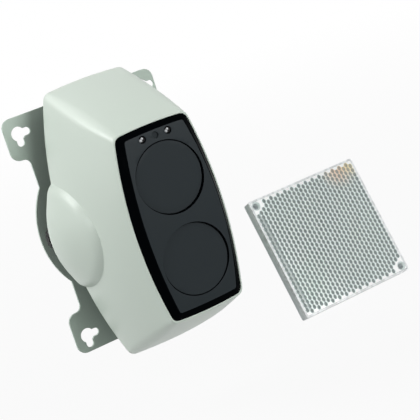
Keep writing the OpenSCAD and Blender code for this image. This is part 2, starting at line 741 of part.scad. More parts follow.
module main_board_screws() face_frame() color([0.8, 0.8, 0.8]) board_corners() lift(parts_z) small_screw();
module optical_screws() face_frame() color([0.8, 0.8, 0.8]) optic_corners() lift(horn_z) small_screw();

module terminal_places() for (k = [0:terminals - 1])
    translate([(k + 1 / 2) * terminal_pitch - terminal_w / 2, terminal_y + terminal_d / 2, parts_z]) children();

module terminal_block() face_frame() color([0.1, 0.45, 0.25]) difference() {
    translate([-terminal_w / 2, terminal_y, parts_z]) cube([terminal_w, terminal_d, terminal_h]);
    terminal_places() {
        lift(terminal_h / 2) cylinder(d = terminal_pitch * well_share, h = terminal_h);
        lift(terminal_h / 4) rotate([90, 0, 0]) cylinder(d = terminal_pitch * wire_share, h = terminal_d);
    }
}

module terminal_screws() face_frame() color([0.78, 0.78, 0.75]) terminal_places() lift(terminal_h / 2)
    difference() {
        cylinder(d = terminal_pitch * well_share - 2 * hole_fit, h = terminal_h / 4);
        translate([-terminal_pitch / 2, -small_screw_r / 4, terminal_h / 8])
            cube([terminal_pitch, small_screw_r / 2, terminal_h]);
    }

module relays() face_frame() color([0.85, 0.85, 0.82]) for (i = [-1, 1])
    translate([i * (relay_size.x + relay_gap) / 2, relay_y, parts_z + relay_size.z / 2])
        cube(relay_size, center = true);

module capacitors() face_frame() color([0.15, 0.17, 0.3]) for (i = [-1, 1])
    translate([i * capacitor_x, 0, parts_z]) {
        cylinder(r = capacitor_r, h = capacitor_h - capacitor_r / 8);
        cylinder(r = capacitor_r - capacitor_r / 8, h = capacitor_h);
    }

module controller_chip() face_frame() color([0.06, 0.06, 0.06])
    lift(parts_z + chip_size.z / 2) cube(chip_size, center = true);

module button_housing() face_frame() color([0.12, 0.12, 0.12]) at_point(button_at, parts_z) difference() {
    translate([-button_box.x / 2, -button_box.y / 2, 0]) cube(button_box);
    lift(button_box.z / 4) cylinder(r = button_r + hole_fit, h = button_box.z);
}

module alignment_button() face_frame() color([0.75, 0.12, 0.1]) at_point(button_at, parts_z) {
    low = button_box.z / 4 + button_travel + hole_fit;
    lift(low) cylinder(r = button_r, h = button_box.z + button_out - low);
}

module lever_places(levers) for (k = levers)
    at_point(dip_at, parts_z) translate([(k - (dip_levers - 1) / 2) * dip_pitch, 0, 0]) children();

module mode_switch() face_frame() color([0.75, 0.12, 0.1]) difference() {
    slot = dip_lever.y + dip_travel + 2 * dip_play;
    at_point(dip_at, parts_z) translate([-dip_box.x / 2, -dip_box.y / 2, 0]) cube(dip_box);
    lever_places([0:dip_levers - 1]) translate([-dip_slot_w / 2, -slot / 2, dip_box.z - dip_slot_d])
        cube([dip_slot_w, slot, dip_box.z]);
}

module mode_lever(k) face_frame() color([0.95, 0.95, 0.93]) lever_places([k])
    translate([-dip_lever.x / 2, -(dip_lever.y + dip_travel) / 2, dip_box.z - dip_slot_d + dip_play])
        cube(dip_lever);
module mode_lever_1() mode_lever(0);
module mode_lever_2() mode_lever(1);
module mode_lever_3() mode_lever(2);
module mode_lever_4() mode_lever(3);

module eye(j) translate([0, j * disc_pitch / 2, 0]) children();
module eyes() for (j = [-1, 1]) eye(j) children();

// The section of one horn: a flared throat, then a round mouth
module horn_section(r, h, throat) polygon([[0, 0], [throat, 0], [r, horn_l - mouth_l], [r, h], [0, h]]);

module optical_moulding() face_frame() color([0.1, 0.1, 0.11]) difference() {
    union() {
        lift(optic_z) linear_extrude(optic_base_t) polygon(block(optic_w, optic_h, post_r));
        eyes() lift(horn_z) rotate_extrude() horn_section(horn_r, horn_l, throat_r + 2 * horn_wall);
    }
    eyes() {
        lift(optic_z - over) cylinder(r = throat_r, h = optic_base_t + 2 * over);
        lift(horn_z) rotate_extrude() horn_section(horn_r - horn_wall - shoulder_w, horn_l + over, throat_r);
        lift(shoulder_z) cylinder(r = horn_r - horn_wall, h = mouth_l + over);
    }
    optic_corners() lift(optic_z - over) cylinder(r = small_screw_r + hole_fit, h = optic_base_t + 2 * over);
}

module eye_pcb(j) face_frame() color([0.1, 0.35, 0.2]) eye(j)
    lift(optic_z - board_t / 2 - face_gap) cube([eye_board.x, eye_board.y, board_t], center = true);
module emitter_board() eye_pcb(1);
module receiver_board() eye_pcb(-1);

// A diode with a domed front, on its board
module diode() lift(optic_z) {
    cylinder(r = diode_r + diode_rim, h = diode_rim);
    cylinder(r = diode_r, h = diode_h - diode_r);
    lift(diode_h - diode_r) sphere(r = diode_r);
}
module emitter_diode() face_frame() color([0.3, 0.35, 0.6]) eye(1) diode();
module receiver_diode() face_frame() color([0.12, 0.1, 0.12]) eye(-1) diode();

// A lens with a flat back and a spherical front
module lens() {
    ball = (pow(lens_r, 2) + pow(lens_crown, 2)) / (2 * lens_crown);
    half = asin(lens_r / ball);
    arc = [for (k = [0:lens_steps]) let (a = half * k / lens_steps)
        [ball * sin(a), lens_edge + lens_crown - ball * (1 - cos(a))]];
    lift(shoulder_z + face_gap) rotate_extrude() polygon(concat([[0, 0]], arc, [[lens_r, 0]]));
}
module emitter_lens() face_frame() color([0.5, 0.12, 0.15, 0.6]) eye(1) lens();
module receiver_lens() face_frame() color([0.5, 0.12, 0.15, 0.6]) eye(-1) lens();

module lens_rings() face_frame() color([0.15, 0.15, 0.15]) eyes()
    lift(shoulder_z + lens_edge + lens_crown / 4) difference() {
        cylinder(r = lens_r, h = lens_ring_t);
        lift(-over) cylinder(r = lens_r - lens_ring_w, h = lens_ring_t + 2 * over);
    }

// An outer skin and an inner skin, joined at the rear edge and round the window's seat
module cover() face_frame() color([0.84, 0.87, 0.83]) {
    nose_z = nose();
    skins = concat([for (k = [0:blister_rings]) mix(cover_z, nose_z, sin(90 * k / blister_rings))],
        [for (k = [1:front_rings]) mix(nose_z, lip_z, k / front_rings)]);
    seat_z = lip_z - seat_d;
    inner_z = seat_z - seat_t - wall;
    inside = [for (z = skins) if (z < inner_z - wall) z];
    rings = concat([for (z = skins) skin_ring(z, 0)],
        [foot_ring(lip_z, -window_fit), foot_ring(seat_z, -window_fit), foot_ring(seat_z, seat_w),
            foot_ring(seat_z - seat_t, seat_w), skin_ring(inner_z, wall)],
        [for (k = [len(inside) - 1:-1:0]) skin_ring(inside[k], wall)]);
    n = len(rings[0]);
    m = len(rings);
    polyhedron([for (r = rings) each r], [for (k = [0:m - 1]) each strip(k * n, ((k + 1) % m) * n, n)]);
}

// Depth of the front panel at height y
function crown(y) = window_z - crown_r + sqrt(pow(crown_r, 2) - pow(y - window_rise, 2));

// Depth of the two flat discs
disc_z = crown(disc_pitch / 2 + disc_r);

// The window's block from depth z, drawn in by d: crowned outside, flat behind the discs where d is set
module window_block(z, d) {
    low = foot_ring(z, d);
    edge = foot_ring(lip_z - d, d);
    top = [for (p = raised(outline(panel, lip_z, d), window_rise, 0))
        [p.x, p.y, d > 0 ? disc_z - d : crown(p.y)]];
    n = len(low);
    h = n / 2;
    q = n / 4;
    // Strips across the panel join each point on the right with the one level with it on the left
    across = concat([for (k = [0:q - 1]) [k, k + 1, h - k - 1, h - k]],
        [for (k = [0:q - 1]) [h + k, h + k + 1, n - k - 1, (n - k) % n]]);
    polyhedron(concat(low, edge, top), concat([[for (k = [0:n - 1]) k]], strip(0, n, n), strip(n, 2 * n, n),
        [for (f = across) [for (k = [3:-1:0]) if (f[k] != f[(k + 3) % 4]) 2 * n + f[k]]]));
}

module pipe_places() for (i = [-1, 1]) translate([i * pipe_side, pipe_y, 0]) children();

module window() face_frame() color([0.03, 0.035, 0.04]) {
    seat_z = lip_z - seat_d;
    difference() {
        window_block(seat_z + face_gap, 0);
        window_block(seat_z - over, window_t);
        eyes() lift(disc_z) cylinder(r = disc_r, h = window_proud);
        pipe_places() lift(seat_z) cylinder(r = pipe_r + hole_fit, h = seat_d + window_proud + over);
        translate([0, pipe_y, crown(pipe_y) - window_t / 2]) cylinder(r = sensor_r, h = window_proud);
    }
}

module status_light_pipes() face_frame() color([0.7, 0.5, 0.45]) pipe_places() {
    top = crown(pipe_y) + pipe_dome / 4;
    lift(top - pipe_dome - pipe_root) cylinder(r = pipe_r, h = pipe_root);
    intersection() {
        lift(top - pipe_dome - face_gap) cylinder(r = pipe_r, h = pipe_dome + face_gap);
        lift(top - 2 * pipe_r) sphere(r = 2 * pipe_r);
    }
}

module reflector_place() translate([reflector_at.x, reflector_at.y, reflector_at.z])
    rotate([-reflector_lean, 0, 0]) children();
module reflector_holes() for (i = [-1, 1]) translate([-i, i, 0] * reflector_hole) children();

module reflector_tray() face_frame() color([0.87, 0.89, 0.88]) reflector_place() {
    inner = reflector_w - 2 * reflector_wall;
    ledge = inner - 2 * (prism_border - prism_fit);
    difference() {
        union() {
            difference() {
                linear_extrude(reflector_d) polygon(block(reflector_w, reflector_w, reflector_corner_r));
                lift(prism_back - prism_fit) linear_extrude(reflector_d) square(inner, center = true);
                lift(reflector_floor) linear_extrude(reflector_d) square(ledge, center = true);
            }
            reflector_holes() cylinder(r = reflector_boss_r, h = prism_back - prism_fit);
        }
        reflector_holes() lift(-over) cylinder(r = reflector_hole_r, h = reflector_d + 2 * over);
    }
}

// A point of the prism field at x on line j, c steps behind the border, flat round the screw holes
function near_hole(x, y) = min(norm([x + reflector_hole, y - reflector_hole]),
    norm([x - reflector_hole, y + reflector_hole])) < reflector_boss_r + prism_pitch;
function prism_point(x, j, c) =
    let (y = j * prism_row - prism_field / 2,
        edge = abs(x) > prism_field / 2 - prism_pitch / 4 || j == 0 || j == prism_rows)
    [x, y, prism_back - (edge || near_hole(x, y) ? 0 : c * prism_step)];

// Even lines have a point at each column's edge, odd lines one in each column's middle and at both ends
function prism_line(j) =
    let (odd = j % 2, left = -prism_field / 2, ends = odd == 1 ? [left] : [],
        middles = [for (i = [0:prism_columns - odd]) left + (i + odd / 2) * prism_pitch])
    [for (x = concat(ends, middles, -ends))
        prism_point(x, j, (round((x - left) / prism_pitch - odd / 2) + 2 * floor(j / 2) + 2 * j) % 3)];

// The triangles between line a of n points and line b of m, where one line has a point more
function zigzag(a, n, b, m) = n < m
    ? [for (i = [0:n - 1]) each
        concat([[b + i, a + i, b + i + 1]], i < n - 1 ? [[a + i, a + i + 1, b + i + 1]] : [])]
    : [for (i = [0:m - 1]) each
        concat([[a + i, a + i + 1, b + i]], i < m - 1 ? [[b + i, a + i + 1, b + i + 1]] : [])];

module reflector_prism_plate() face_frame() color([0.86, 0.9, 0.9, 0.7]) reflector_place() difference() {
    lines = [for (j = [0:prism_rows]) prism_line(j)];
    start = [for (j = 0, at = 0; j <= prism_rows; at = at + len(lines[j]), j = j + 1) at];
    rear = start[prism_rows] + len(lines[prism_rows]);
    front = rear + 4;
    half = prism_w / 2;
    corners = [[-half, -half], [half, -half], [half, half], [-half, half]];
    left = [for (j = [0:prism_rows]) start[j]];
    right = [for (j = [prism_rows:-1:0]) start[j] + len(lines[j]) - 1];
    bottom = [for (i = [prism_columns:-1:0]) i];
    top = [for (i = [0:prism_columns]) start[prism_rows] + i];
    polyhedron(
        concat([for (l = lines) each l], [for (p = corners) [p.x, p.y, prism_back]],
            [for (p = corners) [p.x, p.y, prism_front]]),
        concat(
            [for (j = [0:prism_rows - 1])
                each zigzag(start[j], len(lines[j]), start[j + 1], len(lines[j + 1]))],
            [concat([rear, rear + 1], bottom), concat([rear + 1, rear + 2], right),
                concat([rear + 2, rear + 3], top), concat([rear + 3, rear], left)],
            [for (k = [0:3]) let (m = (k + 1) % 4) [rear + k, front + k, front + m, rear + m]],
            [[front + 3, front + 2, front + 1, front]]));
    reflector_holes() lift(prism_back - over) cylinder(r = reflector_hole_r, h = prism_plate_t + 2 * over);
}

wall_plate();
pivot_bracket();
pan_pivot_pins();
pan_wheel_bracket();
tilt_wheel_bracket();
bracket_rivets();
pivot_ring();
tilt_pivot_pins();
pan_thumbwheel();
tilt_thumbwheel();
head_bracket();
head_rivets();
chassis();
pan_adjusting_screw();
tilt_adjusting_screw();
adjusting_nuts();
cover_seal();
cover_clips();
wire_grommet();
main_board();
main_board_screws();
terminal_block();
terminal_screws();
relays();
capacitors();
controller_chip();
button_housing();
alignment_button();
mode_switch();
mode_lever_1();
mode_lever_2();
mode_lever_3();
mode_lever_4();
optical_moulding();
optical_screws();
emitter_board();
receiver_board();
emitter_diode();
receiver_diode();
emitter_lens();
receiver_lens();
lens_rings();
cover();
window();
status_light_pipes();
reflector_tray();
reflector_prism_plate();
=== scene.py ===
import json
import logging
import math
from dataclasses import dataclass, field
from enum import Enum
from typing import Any, Callable, Iterable, Sequence

import bmesh
import bpy
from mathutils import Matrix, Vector, geometry


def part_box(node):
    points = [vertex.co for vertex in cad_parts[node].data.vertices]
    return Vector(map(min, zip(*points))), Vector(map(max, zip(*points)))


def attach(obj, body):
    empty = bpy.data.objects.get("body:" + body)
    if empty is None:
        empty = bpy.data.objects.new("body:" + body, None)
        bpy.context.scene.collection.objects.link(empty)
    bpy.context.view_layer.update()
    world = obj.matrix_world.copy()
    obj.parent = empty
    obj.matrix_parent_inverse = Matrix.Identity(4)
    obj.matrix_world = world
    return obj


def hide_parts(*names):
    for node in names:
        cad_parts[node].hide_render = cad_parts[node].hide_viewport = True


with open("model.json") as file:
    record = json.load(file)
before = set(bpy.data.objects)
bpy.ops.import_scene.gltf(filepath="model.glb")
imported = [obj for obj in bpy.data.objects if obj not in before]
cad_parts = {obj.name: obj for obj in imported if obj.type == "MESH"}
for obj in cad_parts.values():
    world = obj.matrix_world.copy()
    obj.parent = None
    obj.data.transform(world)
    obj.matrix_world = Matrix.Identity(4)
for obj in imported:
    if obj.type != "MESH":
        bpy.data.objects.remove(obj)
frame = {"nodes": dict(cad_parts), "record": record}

Flat = tuple[float, float]
Spot = tuple[float, float, float]
Colour = tuple[float, float, float]

MM = 0.001
FLAT_ANGLE = 0.5  # degrees between faces that count as one flat face
EDGE_ANGLE = 40.0  # degrees from which a packed edge is rounded
LEAST_BULGE = 1.5  # millimetres, the least height of the blister's part of an outline
QUARTER_STEPS = (26, 26, 12, 24)  # points in a quarter over the bulge, flank, corner and end
SOFT_CREASE = 0.35  # millimetres kept free on each side of the blister's crease
HALVINGS = 30  # steps of a search by halves
LOG = logging.getLogger("beam_detector")
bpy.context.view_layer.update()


# Shader trees


class Link:
    """A socket of a shader tree that Python sums can use; each sum adds its Math node."""

    def __init__(self, tree: "Tree", socket: bpy.types.NodeSocket | None) -> None:
        """Keeps the socket and the tree that it belongs to."""
        self.tree = tree
        self.socket = socket

    def _sum(self, operation: str, first: "Link | float", second: "Link | float") -> "Link":
        """Adds one Math node."""
        return self.tree.node("ShaderNodeMath", {"operation": operation}, {0: first, 1: second})

    def __add__(self, other: "Link | float") -> "Link":
        """self + other"""
        return self._sum("ADD", self, other)

    __radd__ = __add__

    def __mul__(self, other: "Link | float") -> "Link":
        """self * other"""
        return self._sum("MULTIPLY", self, other)

    __rmul__ = __mul__

    def __sub__(self, other: "Link | float") -> "Link":
        """self - other"""
        return self._sum("SUBTRACT", self, other)

    def __rsub__(self, other: "Link | float") -> "Link":
        """other - self"""
        return self._sum("SUBTRACT", other, self)

    def most(self, other: "Link | float") -> "Link":
        """The larger of the two."""
        return self._sum("MAXIMUM", self, other)

    def fit(self, low: float, high: float) -> "Link":
        """How far the value has come from low to high, kept from 0 to 1.

        Args:
            low: The value that gives 0.
            high: The value that gives 1.

        Returns:
            The share as a new link.
        """
        return self.tree.node("ShaderNodeMapRange", {"clamp": True, "interpolation_type": "SMOOTHSTEP"},
                              {0: self, 1: low, 2: high, 3: 0.0, 4: 1.0})


class Tree:
    """The node tree of a material or of the world."""

    def __init__(self, owner: bpy.types.Material | bpy.types.World) -> None:
        """Empties the owner's tree."""
        owner.use_nodes = True
        self.owner = owner
        self.graph = owner.node_tree
        self.graph.nodes.clear()

    def node(self, kind: str, settings: dict[str, Any] | None = None,
             values: dict[int | str, Any] | None = None, out: int | str = 0) -> Link:
        """Adds a node.

        Args:
            kind: The node's type.
            settings: Its settings, set first.
            values: What goes into its sockets, a number, a colour or a link each.
            out: The output that the link stands for.

        Returns:
            The link to that output; a tree's last node has none.
        """
        made = self.graph.nodes.new(kind)
        for key, value in (settings or {}).items():
            setattr(made, key, value)
        for key, value in (values or {}).items():
            socket = made.inputs[key]
            if isinstance(value, Link):
                self.graph.links.new(value.socket, socket)
            elif isinstance(value, tuple) and len(value) == 3 and socket.type == "RGBA":
                socket.default_value = (*value, 1.0)
            else:
                socket.default_value = value
        return Link(self, made.outputs[out] if made.outputs else None)

    def place(self) -> Link:
        """The point on the surface, in metres in the shared frame."""
        return self.node("ShaderNodeTexCoord", out="Object")

    def noise(self, size: float, detail: float = 2.0, stretch: Spot = (1.0, 1.0, 1.0)) -> Link:
        """Soft random grain from 0 to 1.

        Args:
            size: The grain's size in millimetres.
            detail: How much finer grain lies in it.
            stretch: How often the grain repeats along each axis.

        Returns:
            The grain's value.
        """
        at = self.node("ShaderNodeVectorMath", {"operation": "MULTIPLY"}, {0: self.place(), 1: stretch})
        return self.node("ShaderNodeTexNoise", None,
                         {"Vector": at, "Scale": 1.0 / (size * MM), "Detail": detail})

    def blend(self, share: "Link | float", first: "Link | Colour", second: "Link | Colour") -> Link:
        """Mixes two colours, from first at 0 to second at 1."""
        return self.node("ShaderNodeMix", {"data_type": "RGBA"}, {0: share, 6: first, 7: second}, out=2)

    def bump(self, height: Link, depth: float) -> Link:
        """A relief of that depth in millimetres."""
        return self.node("ShaderNodeBump", None, {"Strength": 1.0, "Distance": depth * MM, "Height": height})

    def nearness(self, point: Spot, reach: float) -> Link:
        """How near the surface is to a point.

        Args:
            point: The point, in millimetres in the shared frame.
            reach: The distance in millimetres at which nothing is left.

        Returns:
            1 at the point, falling to 0 at its reach.
        """
        far = self.node("ShaderNodeVectorMath", {"operation": "DISTANCE"},
                        {0: self.place(), 1: tuple(c * MM for c in point)}, out="Value")
        return 1 - far.fit(0.0, reach * MM)

    def seen(self) -> Link:
        """Tells the rays that meet the white surroundings from the rest.

        Returns:
            1 for what the camera, metal or glass sees, and 0 for what lights the part.
        """
        camera, glossy, through = [self.node("ShaderNodeLightPath", out=f"Is {ray} Ray")
                                   for ray in ("Camera", "Glossy", "Transmission")]
        return camera.most(glossy).most(through)

    def close(self, **sockets: Any) -> bpy.types.Material:
        """Ends the tree in a surface shader.

        Args:
            sockets: The shader's sockets by name, with _ for each space.

        Returns:
            The finished material.
        """
        values = {key.replace("_", " "): value for key, value in sockets.items()}
        values = {key.replace("Ior", "IOR"): value for key, value in values.items()}
        self.end(self.node("ShaderNodeBsdfPrincipled", None, values))
        return self.owner

    def end(self, shader: Link) -> None:
        """Links the last shader to the tree's output."""
        world = isinstance(self.owner, bpy.types.World)
        self.node(f"ShaderNodeOutput{'World' if world else 'Material'}", None, {"Surface": shader})


def paint(red: int, green: int, blue: int) -> Colour:
    """The light that a colour of a paint chart, from 0 to 255, gives back."""
    return tuple(c / 12.92 if c <= 0.04045 else ((c + 0.055) / 1.055) ** 2.4
                 for c in (red / 255, green / 255, blue / 255))


def tinted(colour: Colour, share: float) -> Colour:
    """The colour made lighter or darker by that share."""
    return tuple(min(1.0, c * (1 + share)) for c in colour)


# Finishes


class Grain(Enum):
    """What the surface of a finish looks like from close by."""

    SPARKED = "spark-eroded moulding"
    PEEL = "powder coat"
    DRAWN = "drawn or turned metal"
    SPANGLED = "zinc crystals"
    POLISHED = "polished"
    TRACES = "solder mask over copper"


@dataclass(frozen=True)
class Finish:
    """One finish: its colour, its shine and its grain."""

    name: str
    colour: Colour
    roughness: float
    grain: Grain = Grain.SPARKED
    size: float = 0.7
    depth: float = 0.012
    drift: float = 0.03
    metallic: float = 0.0
    coat: float = 0.0
    # A painted glow: the surface gives off light of its own colour though it is no lamp.
    specular: float = 0.5
    painted_glow: float = 0.0
    cloud: float = 60.0
    shares: Flat = (0.6, 0.4)
    uneven: Flat = (0.25, 0.2)

    def material(self) -> bpy.types.Material:
        """Builds the finish's shader.

        Returns:
            The material, with colour, roughness and relief from its grain.
        """
        tree = Tree(bpy.data.materials.new(self.name))
        broad = tree.noise(self.cloud, 3.0)
        fine = self._grain(tree)
        share = broad * self.shares[0] + fine * self.shares[1]
        colour = tree.blend(share, tinted(self.colour, -self.drift), tinted(self.colour, self.drift))
        if self.grain is Grain.TRACES:
            colour = self._copper(tree, colour)
        rough = (self.roughness + (broad - 0.5) * (self.uneven[0] * self.roughness)
                 + (fine - 0.5) * (self.uneven[1] * self.roughness))
        return tree.close(Base_Color=colour, Roughness=rough, Normal=tree.bump(fine, self.depth),
                          Metallic=self.metallic, Coat_Weight=self.coat, Coat_Roughness=0.04,
                          Specular_Ior_Level=self.specular, Emission_Color=colour,
                          Emission_Strength=self.painted_glow)

    def _grain(self, tree: Tree) -> Link:
        """The relief of the finish's grain.

        Args:
            tree: The material's tree.

        Returns:
            The grain's height from 0 to 1.
        """
        if self.grain is Grain.DRAWN:
            return tree.noise(self.size, 2.0, (1.0, 14.0, 1.0))
        if self.grain is Grain.SPANGLED:
            return tree.node("ShaderNodeTexVoronoi", {"feature": "SMOOTH_F1"},
                             {"Vector": tree.place(), "Scale": 1.0 / (self.size * MM)})
        if self.grain is Grain.PEEL:
            return tree.noise(self.size, 0.5)
        return tree.noise(self.size, 3.0)

    def _copper(self, tree: Tree, colour: Link) -> Link:
        """Copper tracks that show through the mask as paler lines.

        Args:
            tree: The material's tree.
            colour: The mask's own colour.

        Returns:
            The colour with the tracks in it.
        """
        cells = tree.node("ShaderNodeTexBrick", {"offset": 0.5, "squash": 1.0}, {
            "Vector": self._turned(tree), "Color1": (0.0, 0.0, 0.0), "Color2": (0.0, 0.0, 0.0),
            "Mortar": (1.0, 1.0, 1.0), "Scale": 1.0, "Mortar Size": 0.22 * MM,
            "Brick Width": 9.5 * MM, "Row Height": 2.1 * MM}, out="Fac")
        return tree.blend(cells * 0.55, colour, tinted(self.colour, 0.9))

    @staticmethod
    def _turned(tree: Tree) -> Link:
        """The board's own plane as the pattern's X and Y."""
        return tree.node("ShaderNodeMapping", {"vector_type": "POINT"},
                         {"Vector": tree.place(), "Rotation": (math.pi / 2, 0.0, 0.0)})


@dataclass(frozen=True)
class Clear:
    """Clear moulded acrylic, as the lenses and the emitter's diode have it."""

    name: str
    colour: Colour
    roughness: float = 0.03
    transmission: float = 0.85
    cloud: float = 9.0
    drift: float = 0.04

    def material(self) -> bpy.types.Material:
        """Builds the clear finish's shader.

        Returns:
            The material.
        """
        tree = Tree(bpy.data.materials.new(self.name))
        cloud = tree.noise(self.cloud, 1.0)
        colour = tree.blend(cloud, tinted(self.colour, -self.drift), tinted(self.colour, self.drift))
        return tree.close(Base_Color=colour, Roughness=self.roughness + cloud * 0.02, IOR=1.49,
                          Normal=tree.bump(cloud, 0.01), Transmission_Weight=self.transmission)


@dataclass(frozen=True)
class Smoked:
    """Smoked acrylic domes with a painted highlight at one side of each."""

    name: str
    colour: Colour
    # The painted highlight's colour, then its spots: each a point and a reach in millimetres.
    core: Colour
    painted_glints: tuple[tuple[Spot, float], ...]
    cloud: float = 1.2

    def material(self) -> bpy.types.Material:
        """Builds the smoked finish's shader.

        Returns:
            The material.
        """
        tree = Tree(bpy.data.materials.new(self.name))
        # Painted highlight: the dome turns pale towards each spot.
        near = tree.nearness(*self.painted_glints[0])
        for core in self.painted_glints[1:]:
            near = near.most(tree.nearness(*core))
        cloud = tree.noise(self.cloud, 1.0)
        colour = tree.blend((near * 1.5).fit(0.2, 1.0), tinted(self.colour, 0.2), self.core)
        return tree.close(Base_Color=colour, Roughness=0.06 + cloud * 0.04, Normal=tree.bump(cloud, 0.01),
                          Specular_Ior_Level=0.15)


@dataclass(frozen=True)
class Prisms:
    """Clear acrylic over corner cubes: dark cups between light walls, with painted sheens near two corners.
    """

    name: str = "prism_face"
    wall: Colour = paint(240, 250, 248)
    cup: Colour = paint(124, 138, 137)
    # Painted sheens: warm reflected colour near the upper right corner and a faint green one near the lower
    # left; each a point, a reach, a colour and a strength.
    painted_sheens: tuple[tuple[Spot, float, Colour, float], ...] = (
        ((173.0, -47.7, -29.0), 20.0, paint(250, 205, 165), 0.8),
        ((184.0, -47.7, -29.0), 14.0, paint(252, 236, 180), 0.7),
        ((104.0, -80.0, -96.0), 30.0, paint(165, 205, 182), 0.3))
    speck: float = 1.6
    mottle: float = 7.0

    def material(self) -> bpy.types.Material:
        """Builds the prism face's shader from the height that its mesh carries.

        Returns:
            The material.
        """
        tree = Tree(bpy.data.materials.new(self.name))
        height = tree.node("ShaderNodeAttribute", {"attribute_name": "height"}, None, out="Fac")
        speck = tree.noise(self.speck, 2.0)
        dark = tree.blend(speck, tinted(self.cup, -0.28), tinted(self.cup, 0.25))
        wall: Link | Colour = self.wall
        # Painted sheen: mottled patches of reflected colour on the walls and, more faintly, on the cups.
        for point, reach, tint, most in self.painted_sheens:
            patch = tree.nearness(point, reach) * (tree.noise(self.mottle, 1.0) + 0.4) * most
            wall, dark = tree.blend(patch, wall, tint), tree.blend(patch * 0.3, dark, tint)
        colour = tree.blend((height + (speck - 0.5) * 0.12).fit(0.05, 0.95), dark, wall)
        return tree.close(Base_Color=colour, Roughness=0.22 + speck * 0.1, Normal=tree.bump(speck, 0.02),
                          Coat_Weight=0.35, Coat_Roughness=0.03)


@dataclass(frozen=True)
class Tray:
    """The reflector's tray: grey at the back, near white at the rim that the clear plate lights."""

    name: str
    grey: Colour = paint(228, 234, 236)
    pale: Colour = paint(250, 253, 254)
    seam: tuple[Spot, Spot, Flat] = ((138.3, -56.9, -75.6), (0.0, -0.927, 0.375), (4.9, 5.5))
    grain: float = 0.8
    dot: float = 3.4
    drift: float = 0.04

    def material(self) -> bpy.types.Material:
        """Builds the tray's finish, which changes at the seam's depth.

        Returns:
            The material.
        """
        tree = Tree(bpy.data.materials.new(self.name))
        start, normal, depths = self.seam
        away = tree.node("ShaderNodeVectorMath", {"operation": "SUBTRACT"},
                         {0: tree.place(), 1: tuple(c * MM for c in start)})
        depth = tree.node("ShaderNodeVectorMath", {"operation": "DOT_PRODUCT"},
                          {0: away, 1: normal}, out="Value")
        front = depth.fit(depths[0] * MM, depths[1] * MM)
        grain = tree.noise(self.grain, 3.0)
        dots = tree.noise(self.dot, 0.0)
        grey = tree.blend(grain, tinted(self.grey, -self.drift), tinted(self.grey, self.drift))
        pale = tree.blend(dots.fit(0.35, 0.65), tinted(self.pale, -0.2), self.pale)
        return tree.close(Base_Color=tree.blend(front, grey, pale), Roughness=0.4 - front * 0.15,
                          Normal=tree.bump(grain, 0.01))


